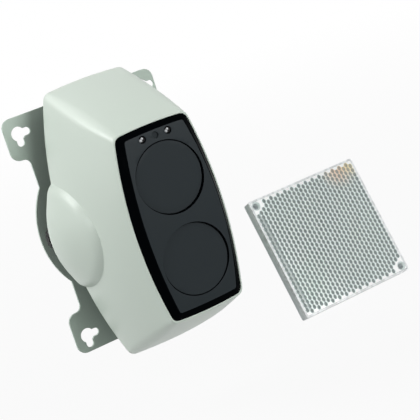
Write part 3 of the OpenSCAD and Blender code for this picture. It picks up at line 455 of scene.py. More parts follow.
class Paintbox:
    """The finish of each of the record's material slots."""

    FINISHES: tuple[Finish | Clear | Smoked | Prisms | Tray, ...] = (
        Finish("plate_paint", paint(186, 202, 190), 0.42, Grain.PEEL, 1.8, 0.02, 0.03),
        Finish("zinc_steel", paint(178, 182, 184), 0.34, Grain.SPANGLED, 2.2, 0.004, 0.10, metallic=1.0),
        Finish("pin_steel", paint(196, 198, 200), 0.24, Grain.DRAWN, 0.9, 0.004, 0.06, metallic=1.0),
        Finish("wheel_nylon", paint(15, 16, 17), 0.45, Grain.SPARKED, 0.5, 0.01, 0.10, specular=0.2),
        Finish("chassis_plastic", paint(46, 49, 50), 0.55, Grain.SPARKED, 0.5, 0.02, 0.08),
        Finish("seal_rubber", paint(28, 28, 29), 0.75, Grain.SPARKED, 0.4, 0.02, 0.10, specular=0.3),
        Finish("spring_steel", paint(205, 207, 210), 0.2, Grain.DRAWN, 0.6, 0.003, 0.05, metallic=1.0),
        Finish("board_green", paint(22, 92, 58), 0.3, Grain.TRACES, 0.6, 0.01, 0.08, coat=0.3),
        Finish("terminal_green", paint(38, 150, 92), 0.42, Grain.SPARKED, 0.5, 0.012, 0.04),
        Finish("relay_cream", paint(228, 226, 212), 0.3, Grain.SPARKED, 0.6, 0.008, 0.03),
        Finish("capacitor_sleeve", paint(34, 48, 104), 0.25, Grain.POLISHED, 1.2, 0.006, 0.06, coat=0.4),
        Finish("chip_black", paint(30, 30, 31), 0.5, Grain.SPARKED, 0.3, 0.01, 0.08),
        Finish("switch_red", paint(190, 40, 34), 0.38, Grain.SPARKED, 0.5, 0.01, 0.05),
        Finish("lever_white", paint(236, 235, 228), 0.35, Grain.SPARKED, 0.4, 0.006, 0.02),
        Finish("optic_black", paint(26, 26, 28), 0.7, Grain.SPARKED, 0.4, 0.025, 0.10, specular=0.25),
        Clear("diode_clear", paint(196, 202, 232)),
        Finish("diode_dark", paint(30, 22, 32), 0.08, Grain.POLISHED, 2.0, 0.002, 0.05, coat=0.6),
        Clear("lens_acrylic", paint(240, 246, 248), 0.02, 0.95),
        Finish("cover_plastic", paint(213, 225, 214), 0.34, Grain.SPARKED, 0.9, 0.01, 0.012),
        Finish("window_black", paint(3, 5, 7), 0.1, Grain.POLISHED, 3.0, 0.001, 0.05, specular=0.003),
        Finish("window_satin", paint(45, 51, 54), 0.42, Grain.SPARKED, 0.6, 0.006, 0.05, specular=0.08),
        # Painted highlights on the light pipes' domes: a pale colour near fixed spots at one side.
        Smoked("pipe_clear", paint(8, 9, 10), paint(225, 228, 230),
               (((-11.6, -115.4, 61.6), 1.9), ((-10.6, -115.8, 62.7), 1.4),
                ((9.0, -115.4, 61.6), 1.9), ((10.0, -115.8, 62.7), 1.4))),
        Tray("tray_white"),
        Prisms("prism_acrylic"),
        # Painted glow on the reflector's border, so that it looks brighter than the lamps light it.
        Finish("prism_border", paint(252, 255, 254), 0.25, Grain.POLISHED, 1.6, 0.01, 0.02, coat=0.3,
               painted_glow=0.14),
    )

    def __init__(self) -> None:
        """Builds every finish once."""
        self.materials = {finish.name: finish.material() for finish in self.FINISHES}

    def __getitem__(self, name: str) -> bpy.types.Material:
        """The material of that name."""
        return self.materials[name]

    def dress(self, piece: bpy.types.Object, *names: str) -> None:
        """Gives a piece its finishes.

        Args:
            piece: The piece.
            names: The finishes, in the order of the piece's face numbers.
        """
        numbers = [min(face.material_index, len(names) - 1) for face in piece.data.polygons]
        piece.data.materials.clear()
        for name in names:
            piece.data.materials.append(self[name])
        piece.data.polygons.foreach_set("material_index", numbers)

    def dress_nodes(self) -> None:
        """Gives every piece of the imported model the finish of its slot."""
        for part in frame["record"]["subparts"]:
            self.dress(frame["nodes"][part["node"]], part["material_slot"])


# Meshes


class Form:
    """A mesh in the making, in the face frame: x right, y up, z out of the wall, in millimetres."""

    def __init__(self) -> None:
        """Starts with no points."""
        self.points: list[Spot] = []
        self.heights: list[float] = []
        self.faces: list[tuple[int, ...]] = []
        self.finishes: list[int] = []

    def ring(self, points: Iterable[Spot], height: float | Sequence[float] = 1.0) -> range:
        """Adds points.

        Args:
            points: The points in their order.
            height: What the mesh's height attribute says at them, all at once or one by one.

        Returns:
            Their numbers.
        """
        start = len(self.points)
        self.points.extend(points)
        count = len(self.points) - start
        self.heights.extend([height] * count if isinstance(height, float) else height)
        return range(start, len(self.points))

    def face(self, corners: Sequence[int], finish: int = 0) -> None:
        """Adds one face in the finish of that number."""
        self.faces.append(tuple(corners))
        self.finishes.append(finish)

    def bridge(self, a: range, b: range, finish: int = 0) -> None:
        """Joins two closed rings of as many points with four-sided faces.

        Args:
            a: The first ring.
            b: The second ring.
            finish: The number of the faces' finish.
        """
        n = len(a)
        for k in range(n):
            m = (k + 1) % n
            self.face((a[k], a[m], b[m], b[k]), finish)

    def loft(self, rings: Sequence[range], finish: int = 0, closed: bool = False) -> None:
        """Joins each ring to the next.

        Args:
            rings: The rings in their order.
            finish: The number of the faces' finish.
            closed: Whether the last ring is joined to the first too.
        """
        for a, b in zip(rings, rings[1:]):
            self.bridge(a, b, finish)
        if closed:
            self.bridge(rings[-1], rings[0], finish)

    def fan(self, ring: range, centre: Spot, finish: int = 0, height: float = 1.0) -> None:
        """Closes a ring with triangles that meet in its middle.

        Args:
            ring: The ring.
            centre: Its middle.
            finish: The number of the faces' finish.
            height: What the mesh's height attribute says in the middle.
        """
        middle = self.ring([centre], height)[0]
        for k in range(len(ring)):
            self.face((ring[k], ring[(k + 1) % len(ring)], middle), finish)

    def patch(self, outline: Sequence[Flat], holes: Sequence[Sequence[Flat]], step: float,
              lift: Callable[[float, float], Spot], finish: int = 0) -> None:
        """Fills a flat outline that has holes, then lifts it into space.

        Args:
            outline: The outer edge.
            holes: The holes' edges.
            step: The distance between the inner points.
            lift: Where a flat point goes.
            finish: The number of the faces' finish.
        """
        loops = [list(outline), *[list(h) for h in holes]]
        coords, edges = [], []
        for loop in loops:
            first = len(coords)
            coords += [Vector(p) for p in loop]
            edges += [(first + k, first + (k + 1) % len(loop)) for k in range(len(loop))]
        for spot in self._grid(loops, step):
            coords.append(Vector(spot))
        flat, _, triangles, *_ = geometry.delaunay_2d_cdt(coords, edges, [], 0, 1e-7)
        numbers = self.ring([lift(p.x, p.y) for p in flat])
        for t in triangles:
            middle = sum((flat[k] for k in t), Vector((0.0, 0.0))) / len(t)
            if within(middle, loops[0]) and not any(within(middle, h) for h in loops[1:]):
                self.face([numbers[k] for k in t], finish)

    @staticmethod
    def _grid(loops: Sequence[Sequence[Flat]], step: float) -> list[Flat]:
        """Evenly spread points inside the first loop and clear of all edges.

        Args:
            loops: The outline and its holes.
            step: The distance between the points.

        Returns:
            The points.
        """
        xs = [p[0] for p in loops[0]]
        ys = [p[1] for p in loops[0]]
        spots = []
        for i in range(1, int((max(xs) - min(xs)) / step) + 1):
            for j in range(1, int((max(ys) - min(ys)) / step) + 1):
                spot = (min(xs) + i * step, min(ys) + j * step)
                if not within(spot, loops[0]) or any(within(spot, h) for h in loops[1:]):
                    continue
                near = min(math.dist(spot, p) for loop in loops for p in loop)
                if near > 0.4 * step:
                    spots.append(spot)
        return spots

    def piece(self, name: str, body: str, slot: str, stands_for: Sequence[str],
              crisp: float = 32.0) -> bpy.types.Object:
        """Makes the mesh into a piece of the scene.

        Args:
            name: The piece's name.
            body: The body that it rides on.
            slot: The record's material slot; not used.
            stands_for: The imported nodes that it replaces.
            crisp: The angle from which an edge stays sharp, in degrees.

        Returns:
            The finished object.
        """
        mesh = bpy.data.meshes.new(name)
        mesh.from_pydata([(x * MM, -z * MM, y * MM) for x, y, z in self.points], [], self.faces)
        mesh.attributes.new("height", "FLOAT", "POINT").data.foreach_set("value", self.heights)
        mesh.polygons.foreach_set("material_index", self.finishes)
        work = bmesh.new()
        work.from_mesh(mesh)
        bmesh.ops.remove_doubles(work, verts=work.verts, dist=1e-6)
        bmesh.ops.dissolve_degenerate(work, edges=work.edges, dist=1e-7)
        bmesh.ops.recalc_face_normals(work, faces=work.faces)
        work.to_mesh(mesh)
        work.free()
        mesh.polygons.foreach_set("use_smooth", [True] * len(mesh.polygons))
        mesh.set_sharp_from_angle(angle=math.radians(crisp))
        made = bpy.data.objects.new(name, mesh)
        bpy.context.scene.collection.objects.link(made)
        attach(made, body)
        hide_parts(*stands_for)
        LOG.info("%s: %d faces on %s", name, len(mesh.polygons), body)
        return made


def within(spot: Sequence[float], loop: Sequence[Sequence[float]]) -> bool:
    """Says whether a flat point lies inside a loop.

    Args:
        spot: The point.
        loop: The loop's corners in their order.

    Returns:
        True where it does.
    """
    x, y = spot[0], spot[1]
    inside = False
    for (ax, ay), (bx, by) in zip(loop, [*loop[1:], loop[0]]):
        if (ay > y) != (by > y) and x < ax + (bx - ax) * (y - ay) / (by - ay):
            inside = not inside
    return inside


def circle(centre: Flat, radius: float, count: int) -> list[Flat]:
    """Points round a circle."""
    return [(centre[0] + radius * math.cos(math.tau * k / count),
             centre[1] + radius * math.sin(math.tau * k / count)) for k in range(count)]


def level(points: Iterable[Flat], z: float, rise: float = 0.0) -> list[Spot]:
    """Flat points at depth z, moved up by rise."""
    return [(x, y + rise, z) for x, y in points]


def mix(a: float, b: float, t: float) -> float:
    """The value that lies the share t of the way from a to b."""
    return a + (b - a) * t


def soften(node: str, width: float) -> None:
    """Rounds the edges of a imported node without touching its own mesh.

    Args:
        node: The node's name.
        width: The rounding's width in millimetres.
    """
    piece = frame["nodes"][node]
    weld = piece.modifiers.new("weld", "WELD")
    weld.merge_threshold = 1e-6
    whole = piece.modifiers.new("whole faces", "DECIMATE")
    whole.decimate_type, whole.angle_limit = "DISSOLVE", math.radians(FLAT_ANGLE)
    bevel = piece.modifiers.new("rounding", "BEVEL")
    bevel.width, bevel.segments = width * MM, 2
    bevel.limit_method, bevel.angle_limit = "ANGLE", math.radians(EDGE_ANGLE)
    even = piece.modifiers.new("even shading", "WEIGHTED_NORMAL")
    even.mode, even.keep_sharp = "FACE_AREA", True


# The front cover's shapes


@dataclass(frozen=True)
class Outline:
    """A convex outline: half widths at mid height and at the corners, half heights likewise, rounding."""

    side: float
    side_corner: float
    top: float
    top_corner: float
    rounding: float

    def grown(self, d: float) -> "Outline":
        """The outline set out by d."""
        return Outline(self.side + d, self.side_corner + d, self.top + d, self.top_corner + d, self.rounding)

    def mixed(self, other: "Outline", t: float, swell: Sequence[float]) -> "Outline":
        """The outline the share t of the way to another, swollen in each of its sizes."""
        pairs = zip(self.sizes(), other.sizes(), swell)
        return Outline(*[mix(a, b, t) + s * 4 * t * (1 - t) for a, b, s in pairs])

    def sizes(self) -> tuple[float, ...]:
        """The five sizes in their order."""
        return self.side, self.side_corner, self.top, self.top_corner, self.rounding

    def flank(self, y: float) -> float:
        """The half width at height y."""
        return self.side - (self.side - self.side_corner) * (y / self.top_corner) ** 2

    def end(self, x: float) -> float:
        """The half height at x."""
        return self.top - (self.top - self.top_corner) * (x / self.side_corner) ** 2

    def points(self, low: float = LEAST_BULGE,
               bulge: Callable[[float], float] | None = None) -> list[Flat]:
        """The outline as points, counter-clockwise from the right.

        Args:
            low: The height up to which the bulge reaches.
            bulge: The half width of what bulges out of the flanks, at a height.

        Returns:
            The points.
        """
        swollen, plain, turn, cap = QUARTER_STEPS
        soft = min(SOFT_CREASE, low / 4)
        top, side = self.top_corner - self.rounding, self.side_corner - self.rounding
        heights = [(low - soft) * k / (swollen - 1) for k in range(swollen)]
        quarter = [(max(bulge(y), self.flank(y)) if bulge else self.flank(y), y) for y in heights]
        quarter.append((self.flank(low), low))
        quarter += [(self.flank(y), y) for y in (mix(low + soft, top, k / plain) for k in range(plain))]
        a, b, e = (self.flank(top), top), (self.side_corner, self.top_corner), (side, self.end(side))
        for t in (k / turn for k in range(turn)):
            quarter.append(tuple(a[i] * (1 - t) ** 2 + b[i] * 2 * t * (1 - t) + e[i] * t ** 2
                                 for i in (0, 1)))
        quarter += [(x, self.end(x)) for x in (side * (1 - k / cap) for k in range(cap + 1))]
        n = len(quarter) - 1
        return (quarter + [(-quarter[k][0], quarter[k][1]) for k in range(n - 1, -1, -1)]
                + [(-quarter[k][0], -quarter[k][1]) for k in range(1, n + 1)]
                + [(quarter[k][0], -quarter[k][1]) for k in range(n - 1, 0, -1)])


@dataclass(frozen=True)
class Shell:
    """The cover's and the window's shared sizes, in millimetres."""

    rear_z: float = 22.8
    lip_z: float = 112.0
    rear: Outline = Outline(53.4, 33.8, 106.3, 104.6, 4.6)
    foot: Outline = Outline(35.8, 28.4, 69.7, 68.3, 4.5)
    panel: Outline = Outline(31.1, 24.1, 65.1, 64.4, 1.6)
    swell: tuple[float, ...] = (5.2, 1.4, 2.5, 1.4, 2.6)
    lip: float = 1.2
    wall: float = 2.5
    blister: float = 65.0
    reach: float = 81.0
    pillow: Flat = (0.8, 3.4)
    rise: float = 0.1
    panel_rise: float = 1.0
    seat: tuple[float, float, float] = (3.0, 3.0, 2.0)
    fit: float = 0.15
    proud: float = 7.0
    crown_r: float = 640.0

    def share(self, z: float) -> float:
        """How far z lies from the rear edge to the lip."""
        return (z - self.rear_z) / (self.lip_z - self.rear_z)

    def skin(self, z: float) -> Outline:
        """The cover's outline at depth z."""
        return self.rear.mixed(self.foot.grown(self.lip), self.share(z), self.swell)

    def bulge(self, y: float, z: float, d: float) -> float:
        """The blister's half width at height y and depth z, drawn in by d."""
        q = 1 - (y / (self.blister - d)) ** 2 - ((z - self.rear_z) / (self.reach - d)) ** 2
        return (self.blister - d) * math.sqrt(q) if q > 0 else 0.0

    def crease(self, outline: Outline, z: float, d: float) -> float:
        """Finds where the blister meets the flank.

        Args:
            outline: The cover's outline at that depth.
            z: The depth.
            d: How far the skin is drawn in.

        Returns:
            The height of the crease.
        """
        low, high = 0.0, self.blister
        for _ in range(HALVINGS):
            y = (low + high) / 2
            low, high = (y, high) if self.bulge(y, z, d) > outline.flank(y) else (low, y)
        return max(low, LEAST_BULGE)

    def nose(self) -> float:
        """Finds where the blister's nose meets the flank.

        Returns:
            The depth of the nose.
        """
        low, high = self.rear_z, self.lip_z
        for _ in range(HALVINGS):
            z = (low + high) / 2
            low, high = (z, high) if self.bulge(0.0, z, 0.0) > self.skin(z).side else (low, z)
        return low

    def skin_ring(self, z: float, d: float = 0.0) -> list[Spot]:
        """The skin's outline.

        Args:
            z: The depth.
            d: How far the skin is drawn in.

        Returns:
            The outline's points.
        """
        outline = self.skin(z).grown(-d)
        flat = outline.points(self.crease(outline, z, d), lambda y: self.cushion(outline, y, z, d))
        return level(flat, z, self.rise * self.share(z))

    def cushion(self, outline: Outline, y: float, z: float, d: float) -> float:
        """The blister's half width, raised a little where it comes out of the flank."""
        out = max(0.0, self.bulge(y, z, d) - outline.flank(y))
        return outline.flank(y) + out * (1 + self.pillow[0] * math.exp(-(out / self.pillow[1]) ** 2))

    def foot_ring(self, z: float, d: float = 0.0) -> list[Spot]:
        """The window opening's points at depth z, drawn in by d."""
        return level(self.foot.grown(-d).points(), z, self.rise)

    def crown(self, y: float) -> float:
        """The front panel's depth at height y."""
        return self.lip_z + self.proud - self.crown_r + math.sqrt(self.crown_r ** 2 - (y - self.rise) ** 2)


@dataclass
class FrontCover:
    """The cover, the window in it and the two status light pipes."""

    paints: Paintbox
    shell: Shell = field(default_factory=Shell)
    disc_r: float = 26.0
    disc_y: float = 30.7
    disc_steps: tuple[Spot, ...] = (
        (0.35, 1.0, 0.0), (0.1, 0.8, 0.0), (0.0, 0.4, 0.7), (-0.25, 0.0, 1.0), (-0.5, 0.0, 0.0))
    disc_points: int = 160
    disc_grid: float = 4.0
    groove: Flat = (0.35, 0.2)
    pipe_r: float = 2.6
    pipe_x: float = 10.3
    pipe_y: float = 61.8
    pipe_crown: float = 0.4
    pipe_length: float = 7.5
    pipe_shoulder: float = 1.0
    pipe_ball: float = 1.25
    pipe_points: int = 40
    dome_steps: int = 10
    well: tuple[float, float] = (0.1, 6.0)
    sensor: tuple[float, float] = (2.4, 1.25)
    band_steps: tuple[float, ...] = (0.04, 0.2, 0.4, 0.6, 0.8, 0.94)
    seat_gap: float = 0.1
    panel_grid: float = 3.0
    window_t: float = 2.5
    edge: float = 0.45
    chamfer: float = 0.12
    slices: int = 26
    inner_slices: int = 15

    def build(self) -> None:
        """Builds and dresses every piece of the cover."""
        self.cover()
        self.window()
        self.pipes()

    def cover(self) -> None:
        """The moulded shell: a lofted skin with two blisters, its inner skin and the window's seat."""
        s, form = self.shell, Form()
        nose = s.nose()
        depths = [s.rear_z + self.edge]
        depths += [mix(s.rear_z, nose, math.sin(math.pi / 2 * k / self.slices))
                   for k in range(1, self.slices + 1)]
        depths = [z for z in depths if z >= s.rear_z + self.edge]
        depths += [mix(nose, s.lip_z, k / self.slices) for k in range(1, self.slices)]
        depths.append(s.lip_z - self.edge)
        seat_z = s.lip_z - s.seat[0]
        inner_z = seat_z - s.seat[2] - s.wall
        rounded = ((s.rear_z, self.edge), (s.rear_z + 0.3 * self.edge, 0.3 * self.edge))
        rings = [s.skin_ring(z, d) for z, d in rounded] + [s.skin_ring(z) for z in depths]
        rings += [s.foot_ring(z, d) for z, d in (
            (s.lip_z - self.chamfer, -s.lip + self.chamfer), (s.lip_z, -s.lip + self.edge),
            (s.lip_z, -s.fit - self.edge / 2), (s.lip_z - self.edge / 2, -s.fit),
            (seat_z, -s.fit), (seat_z, s.seat[1]), (seat_z - s.seat[2], s.seat[1]))]
        inner = [mix(inner_z - s.wall, s.rear_z + self.edge, k / self.inner_slices)
                 for k in range(self.inner_slices + 1)]
        rings += [s.skin_ring(z, s.wall) for z in [inner_z, *inner]]
        rings += [s.skin_ring(s.rear_z, s.wall - self.edge)]
        form.loft([form.ring(r) for r in rings], closed=True)
        piece = form.piece("front_cover_shell", "front_cover", "cover_plastic", ["cover"], crisp=50.0)
        self.paints.dress(piece, "cover_plastic")

    def window(self) -> None:
        """The black window: a gloss sloping band round a crowned satin panel with two flat discs."""
        s, form = self.shell, Form()
        e = self.edge
        disc_z = s.crown(self.disc_y + self.disc_r)
        base = s.lip_z - s.seat[0] + self.seat_gap
        top = [(x, y + s.panel_rise) for x, y in s.panel.points()]
        inset = [(x, y + s.panel_rise) for x, y in s.panel.grown(-e).points()]
        foot = s.foot_ring(s.lip_z)
        peak = [(x, y, s.crown(y)) for x, y in top]
        flat = [(x, y, s.crown(y)) for x, y in inset]

        def slope(t: float) -> list[Spot]:
            """A ring on the band, the share t of the way up."""
            return [tuple(mix(a, b, t) for a, b in zip(p, q)) for p, q in zip(foot, peak)]

        brink = [tuple(0.5 * b + 0.25 * a + 0.25 * c for a, b, c in zip(p, q, r))
                 for p, q, r in zip(slope(self.band_steps[-1]), peak, flat)]
        band = [form.ring(s.foot_ring(base)), form.ring(s.foot_ring(s.lip_z - e / 2))]
        band += [form.ring(slope(t)) for t in self.band_steps]
        band += [form.ring(brink), form.ring(flat)]
        form.loft(band)
        holes = [self._disc(form, (0.0, j * self.disc_y), disc_z) for j in (-1, 1)]
        pipe_well = (self.pipe_r + self.well[0], self.well[1])
        for i, well in ((-1, pipe_well), (1, pipe_well), (0, self.sensor)):
            holes.append(self._well(form, (i * self.pipe_x, self.pipe_y), *well))
        form.patch(inset, holes, self.panel_grid, lambda x, y: (x, y, s.crown(y)), finish=1)
        hollow = s.panel.grown(-self.window_t).points()
        inner = [form.ring(s.foot_ring(z, self.window_t)) for z in (base, s.lip_z)]
        inner.append(form.ring(level(hollow, disc_z - self.window_t, s.panel_rise)))
        form.loft([band[0], *inner])
        form.fan(inner[-1], (0.0, s.panel_rise, disc_z - self.window_t))
        piece = form.piece("front_window", "front_cover", "window_black", ["window"])
        self.paints.dress(piece, "window_black", "window_satin")

    def _disc(self, form: Form, centre: Flat, floor: float) -> list[Flat]:
        """A flat disc sunk in the crowned panel.

        Args:
            form: The window's mesh.
            centre: The disc's centre.
            floor: Its depth.

        Returns:
            The edge that the panel has to meet.
        """
        s, count = self.shell, self.disc_points
        rings = []
        for grow, share, dip in self.disc_steps:
            points = []
            for x, y in circle(centre, self.disc_r + grow, count):
                step = max(0.0, s.crown(y) - floor)
                groove = min(self.groove[0], self.groove[1] * step)
                points.append((x, y, floor + step * share - dip * groove))
            rings.append(form.ring(points))
        form.loft(rings)
        brink, foot = [circle(centre, self.disc_r + self.disc_steps[k][0], count) for k in (0, -1)]
        form.patch(foot, [], self.disc_grid, lambda x, y: (x, y, floor), finish=1)
        return brink

    def _well(self, form: Form, centre: Flat, radius: float, depth: float) -> list[Flat]:
        """A round well with a softened brink.

        Args:
            form: The window's mesh.
            centre: The well's centre.
            radius: Its radius.
            depth: Its depth.

        Returns:
            The edge that the panel has to meet.
        """
        count, top = self.pipe_points, self.shell.crown(centre[1])
        brink = circle(centre, radius + 0.2, count)
        rings = [form.ring([(x, y, self.shell.crown(y)) for x, y in brink])]
        for drop, grow in ((0.06, 0.06), (0.2, 0.0), (depth, 0.0)):
            rings.append(form.ring(level(circle(centre, radius + grow, count), top - drop)))
        form.loft(rings, finish=1)
        form.fan(rings[-1], (*centre, top - depth), finish=1)
        return brink

    def pipes(self) -> None:
        """The two light pipes: smoked rods with domed ends."""
        form = Form()
        ball = self.pipe_ball * self.pipe_r
        top = self.shell.crown(self.pipe_y) + self.pipe_crown
        foot = top - self.pipe_length
        stages = [(foot, self.pipe_r), (top - self.pipe_shoulder, self.pipe_r)]
        for k in range(1, self.dome_steps):
            radius = self.pipe_r * math.cos(math.pi / 2 * k / self.dome_steps)
            stages.append((top - ball + math.sqrt(ball ** 2 - radius ** 2), radius))
        for centre in ((-self.pipe_x, self.pipe_y), (self.pipe_x, self.pipe_y)):
            rings = [form.ring(level(circle(centre, radius, self.pipe_points), z)) for z, radius in stages]
            form.loft(rings)
            form.fan(rings[-1], (*centre, top))
            form.fan(rings[0], (*centre, foot))
        piece = form.piece("light_pipe_domes", "front_cover", "pipe_clear", ["status_light_pipes"])
        self.paints.dress(piece, "pipe_clear")


# The reflector


@dataclass
class Reflector:
    """The square prism reflector: a white tray with a clear plate of corner cubes in it."""

    paints: Paintbox
    at: Spot = (138.3, -75.6, 56.9)
    lean: float = -22.0
    width: float = 100.0
    depth: float = 9.5
    plate: float = 3.0
    wall: float = 1.4
    fit: float = 0.15
    column: float = 3.333
    pitch: float = 3.85
    field_x: Flat = (-48.3, 48.1)
    hole: float = 45.0
    hole_r: float = 2.25
    hole_points: int = 32
    sink: Flat = (3.6, 1.3)
    boss_r: float = 5.0
    boss_gap: float = 1.2
    front_grid: float = 6.0
    back_grid: float = 30.0
    neck: float = 0.3
    first: float = -46.9
    columns: int = 29
    rows: tuple[int, int] = (24, 25)
    cup: tuple[tuple[float, ...], ...] = (
        (1.4, 1.82, 0.0, 0.8), (1.24, 1.66, 0.2, 0.12), (0.75, 1.1, 0.5, 0.0))
    cup_z: float = 0.7
    # The leftmost columns: how far in they reach in columns, then the heights of their necks, cup bottoms and
    # walls, which make their walls and necks darker and their cups paler.
    left_columns: tuple[float, float, float, float] = (1.6, 0.1, 0.14, 0.25)

    def build(self) -> None:
        """Builds and dresses the reflector."""
        self.face()
        soften("reflector_tray", 0.5)

    def place(self, x: float, y: float, z: float) -> Spot:
        """A point of the reflector's own frame in the face frame."""
        a = math.radians(self.lean)
        return (self.at[0] + x, self.at[1] + y * math.cos(a) - z * math.sin(a),
                self.at[2] + y * math.sin(a) + z * math.cos(a))

    def laid(self, form: Form, points: Iterable[Flat], z: float,
             height: float | Sequence[float] = 1.0) -> range:
        """Adds a ring of flat points at depth z of the reflector to a mesh."""
        return form.ring([self.place(x, y, z) for x, y in points], height)

    def cells(self) -> list[Flat]:
        """Finds the prism cells that fit the field and leave the screw holes clear.

        Returns:
            The cells' middles.
        """
        spots = []
        for i in range(self.columns):
            x = self.first + i * self.column
            count = self.rows[i % 2]
            for j in range(count):
                y = (j - (count - 1) / 2) * self.pitch
                if all(math.dist((x, y), h) > self.boss_r + self.boss_gap for h in self.holes()):
                    spots.append((x, y))
        return spots

    def holes(self) -> tuple[Flat, Flat]:
        """The middles of the two screw holes."""
        return (-self.hole, self.hole), (self.hole, -self.hole)

    def face(self) -> None:
        """The prism plate, its cells as cups between thin walls."""
        form, front = Form(), self.depth
        inner = self.width / 2 - self.wall - self.fit
        r, h = self.column / 1.5, self.pitch / 2
        hexagon = [(r, 0.0), (0.75 * r, h / 2), (r / 2, h), (0.0, h), (-r / 2, h), (-0.75 * r, h / 2)]
        hexagon += [(-x, -y) for x, y in hexagon]
        turns = [math.atan2(y, x) for x, y in hexagon]
        sides: dict[tuple[tuple[int, int], tuple[int, int]], tuple[Flat, Flat]] = {}
        for cx, cy in self.cells():
            rim = [(self._kept(cx + x), cy + y) for x, y in hexagon]
            self._cup(form, (cx, cy), rim, turns)
            for p, q in zip(rim, [*rim[1:], rim[0]]):
                key = tuple(sorted((self._key(p), self._key(q))))
                if key in sides:
                    del sides[key]
                elif key[0] != key[1]:
                    sides[key] = (p, q)
        square = [(-inner, -inner), (inner, -inner), (inner, inner), (-inner, inner)]
        self._border(form, square, sides, front)
        self._skirt(form, square, front, front - self.plate)
        piece = form.piece("prism_face", "wall_plate_group", "prism_acrylic", ["reflector_prism_plate"])
        self.paints.dress(piece, "prism_acrylic", "prism_border")

    def _kept(self, x: float, margin: float = 0.0) -> float:
        """The value x, kept inside the field by that margin."""
        return min(max(x, self.field_x[0] + margin), self.field_x[1] - margin)

    def _cup(self, form: Form, cell: Flat, rim: Sequence[Flat], turns: Sequence[float]) -> None:
        """One prism cell: a cup whose wall is darker towards the cells above and below.

        Args:
            form: The plate's mesh.
            cell: The cell's middle.
            rim: The cell's corners on the plate's front.
            turns: The corners' directions from the middle, in radians.
        """
        # The leftmost columns are drawn fuzzier: darker walls and necks, paler cup bottoms.
        reach, left_neck, left_haze, left_wall = self.left_columns
        edge = self.field_x[0] + reach * self.column
        neck, haze = (self.neck, 0.0) if cell[0] > edge else (left_neck, left_haze)
        between = [neck if k in (3, 9) else left_wall if self.field_x[0] < x < edge else 1.0
                   for k, (x, _) in enumerate(rim)]
        rings = [self.laid(form, rim, self.depth, between)]
        for rx, ry, drop, height in self.cup:
            flat = [(self._kept(cell[0] + rx * math.cos(t), 0.1), cell[1] + ry * math.sin(t))
                    for t in turns]
            low = [max(haze, min(height, neck) if k in (3, 9) else height) for k in range(len(flat))]
            rings.append(self.laid(form, flat, self.depth - drop, low))
        form.loft(rings)
        form.fan(rings[-1], self.place(*cell, self.depth - self.cup_z), height=0.05 + haze)

    @staticmethod
    def _key(p: Flat) -> tuple[int, int]:
        """A flat point as whole hundredths, so that shared corners meet."""
        return round(p[0] * 100), round(p[1] * 100)

    def _border(self, form: Form, square: Sequence[Flat], sides: dict, front: float) -> None:
        """The plain border from the cells to the screw holes and the plate's sides.

        Args:
            form: The plate's mesh.
            square: The plate's corners.
            sides: The sides that only one cell has.
            front: The depth of the plate's front.
        """
        follow = {self._key(p): (q, p) for p, q in sides.values()}
        loops = []
        while follow:
            start, (there, here) = follow.popitem()
            loop = [here]
            while self._key(there) != start and self._key(there) in follow:
                loop.append(there)
                there, _ = follow.pop(self._key(there))
            loops.append(loop)
        rounds = [circle(h, self.sink[0], self.hole_points) for h in self.holes()]
        form.patch(square, [*loops, *rounds], self.front_grid, lambda x, y: self.place(x, y, front), finish=1)

    def _skirt(self, form: Form, square: Sequence[Flat], front: float, back: float) -> None:
        """The plate's sides, its back and its countersunk screw holes.

        Args:
            form: The plate's mesh.
            square: The plate's corners.
            front: The depth of its front.
            back: The depth of its back.
        """
        form.bridge(*[self.laid(form, square, z) for z in (front, back)])
        walls = [circle(h, self.hole_r, self.hole_points) for h in self.holes()]
        for hole, wall in zip(self.holes(), walls):
            brink = self.laid(form, circle(hole, self.sink[0], self.hole_points), front)
            form.loft([brink, *[self.laid(form, wall, z, 0.7) for z in (front - self.sink[1], back)]])
        form.patch(square, walls, self.back_grid, lambda x, y: self.place(x, y, back))


# The adjusting screws


@dataclass
class Screws:
    """The two adjusting screws as threaded rods."""

    paints: Paintbox
    pitch: float = 0.8
    depth: float = 0.42
    turn: int = 24
    plain: float = 0.6
    runout: float = 0.05

    def build(self) -> None:
        """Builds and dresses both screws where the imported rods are."""
        for axis in ("pan", "tilt"):
            self.rod(f"{axis}_adjusting_screw", f"{axis}_screw_thread")

    def rod(self, node: str, name: str) -> None:
        """One threaded rod in place of a packed plain one.

        Args:
            node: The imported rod's name.
            name: The new piece's name.
        """
        low, high = [[c / MM for c in corner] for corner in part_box(node)]
        middle, radius = ((low[0] + high[0]) / 2, (low[2] + high[2]) / 2), (high[0] - low[0]) / 2
        back, front = -high[1], -low[1]
        form, core = Form(), circle(middle, radius - self.depth, self.turn)
        start, stop = back + self.plain, front - self.plain
        rings = [form.ring(level(core, z)) for z in (back, start)]
        steps = 4 * int((stop - start) / self.pitch)
        for z in (mix(start, stop, k / steps) for k in range(steps + 1)):
            points = []
            for j in range(self.turn):
                phase = (z / self.pitch - j / self.turn) % 1.0
                r = radius - self.depth * abs(2 * phase - 1)
                a = math.tau * j / self.turn
                points.append((middle[0] + r * math.cos(a), middle[1] + r * math.sin(a), z))
            rings.append(form.ring(points))
        rings += [form.ring(level(core, z)) for z in (stop + self.runout, front)]
        form.loft(rings)
        form.fan(rings[0], (*middle, back))
        form.fan(rings[-1], (*middle, front))
        piece = form.piece(name, "head", "pin_steel", [node], crisp=60.0)
        self.paints.dress(piece, "pin_steel")


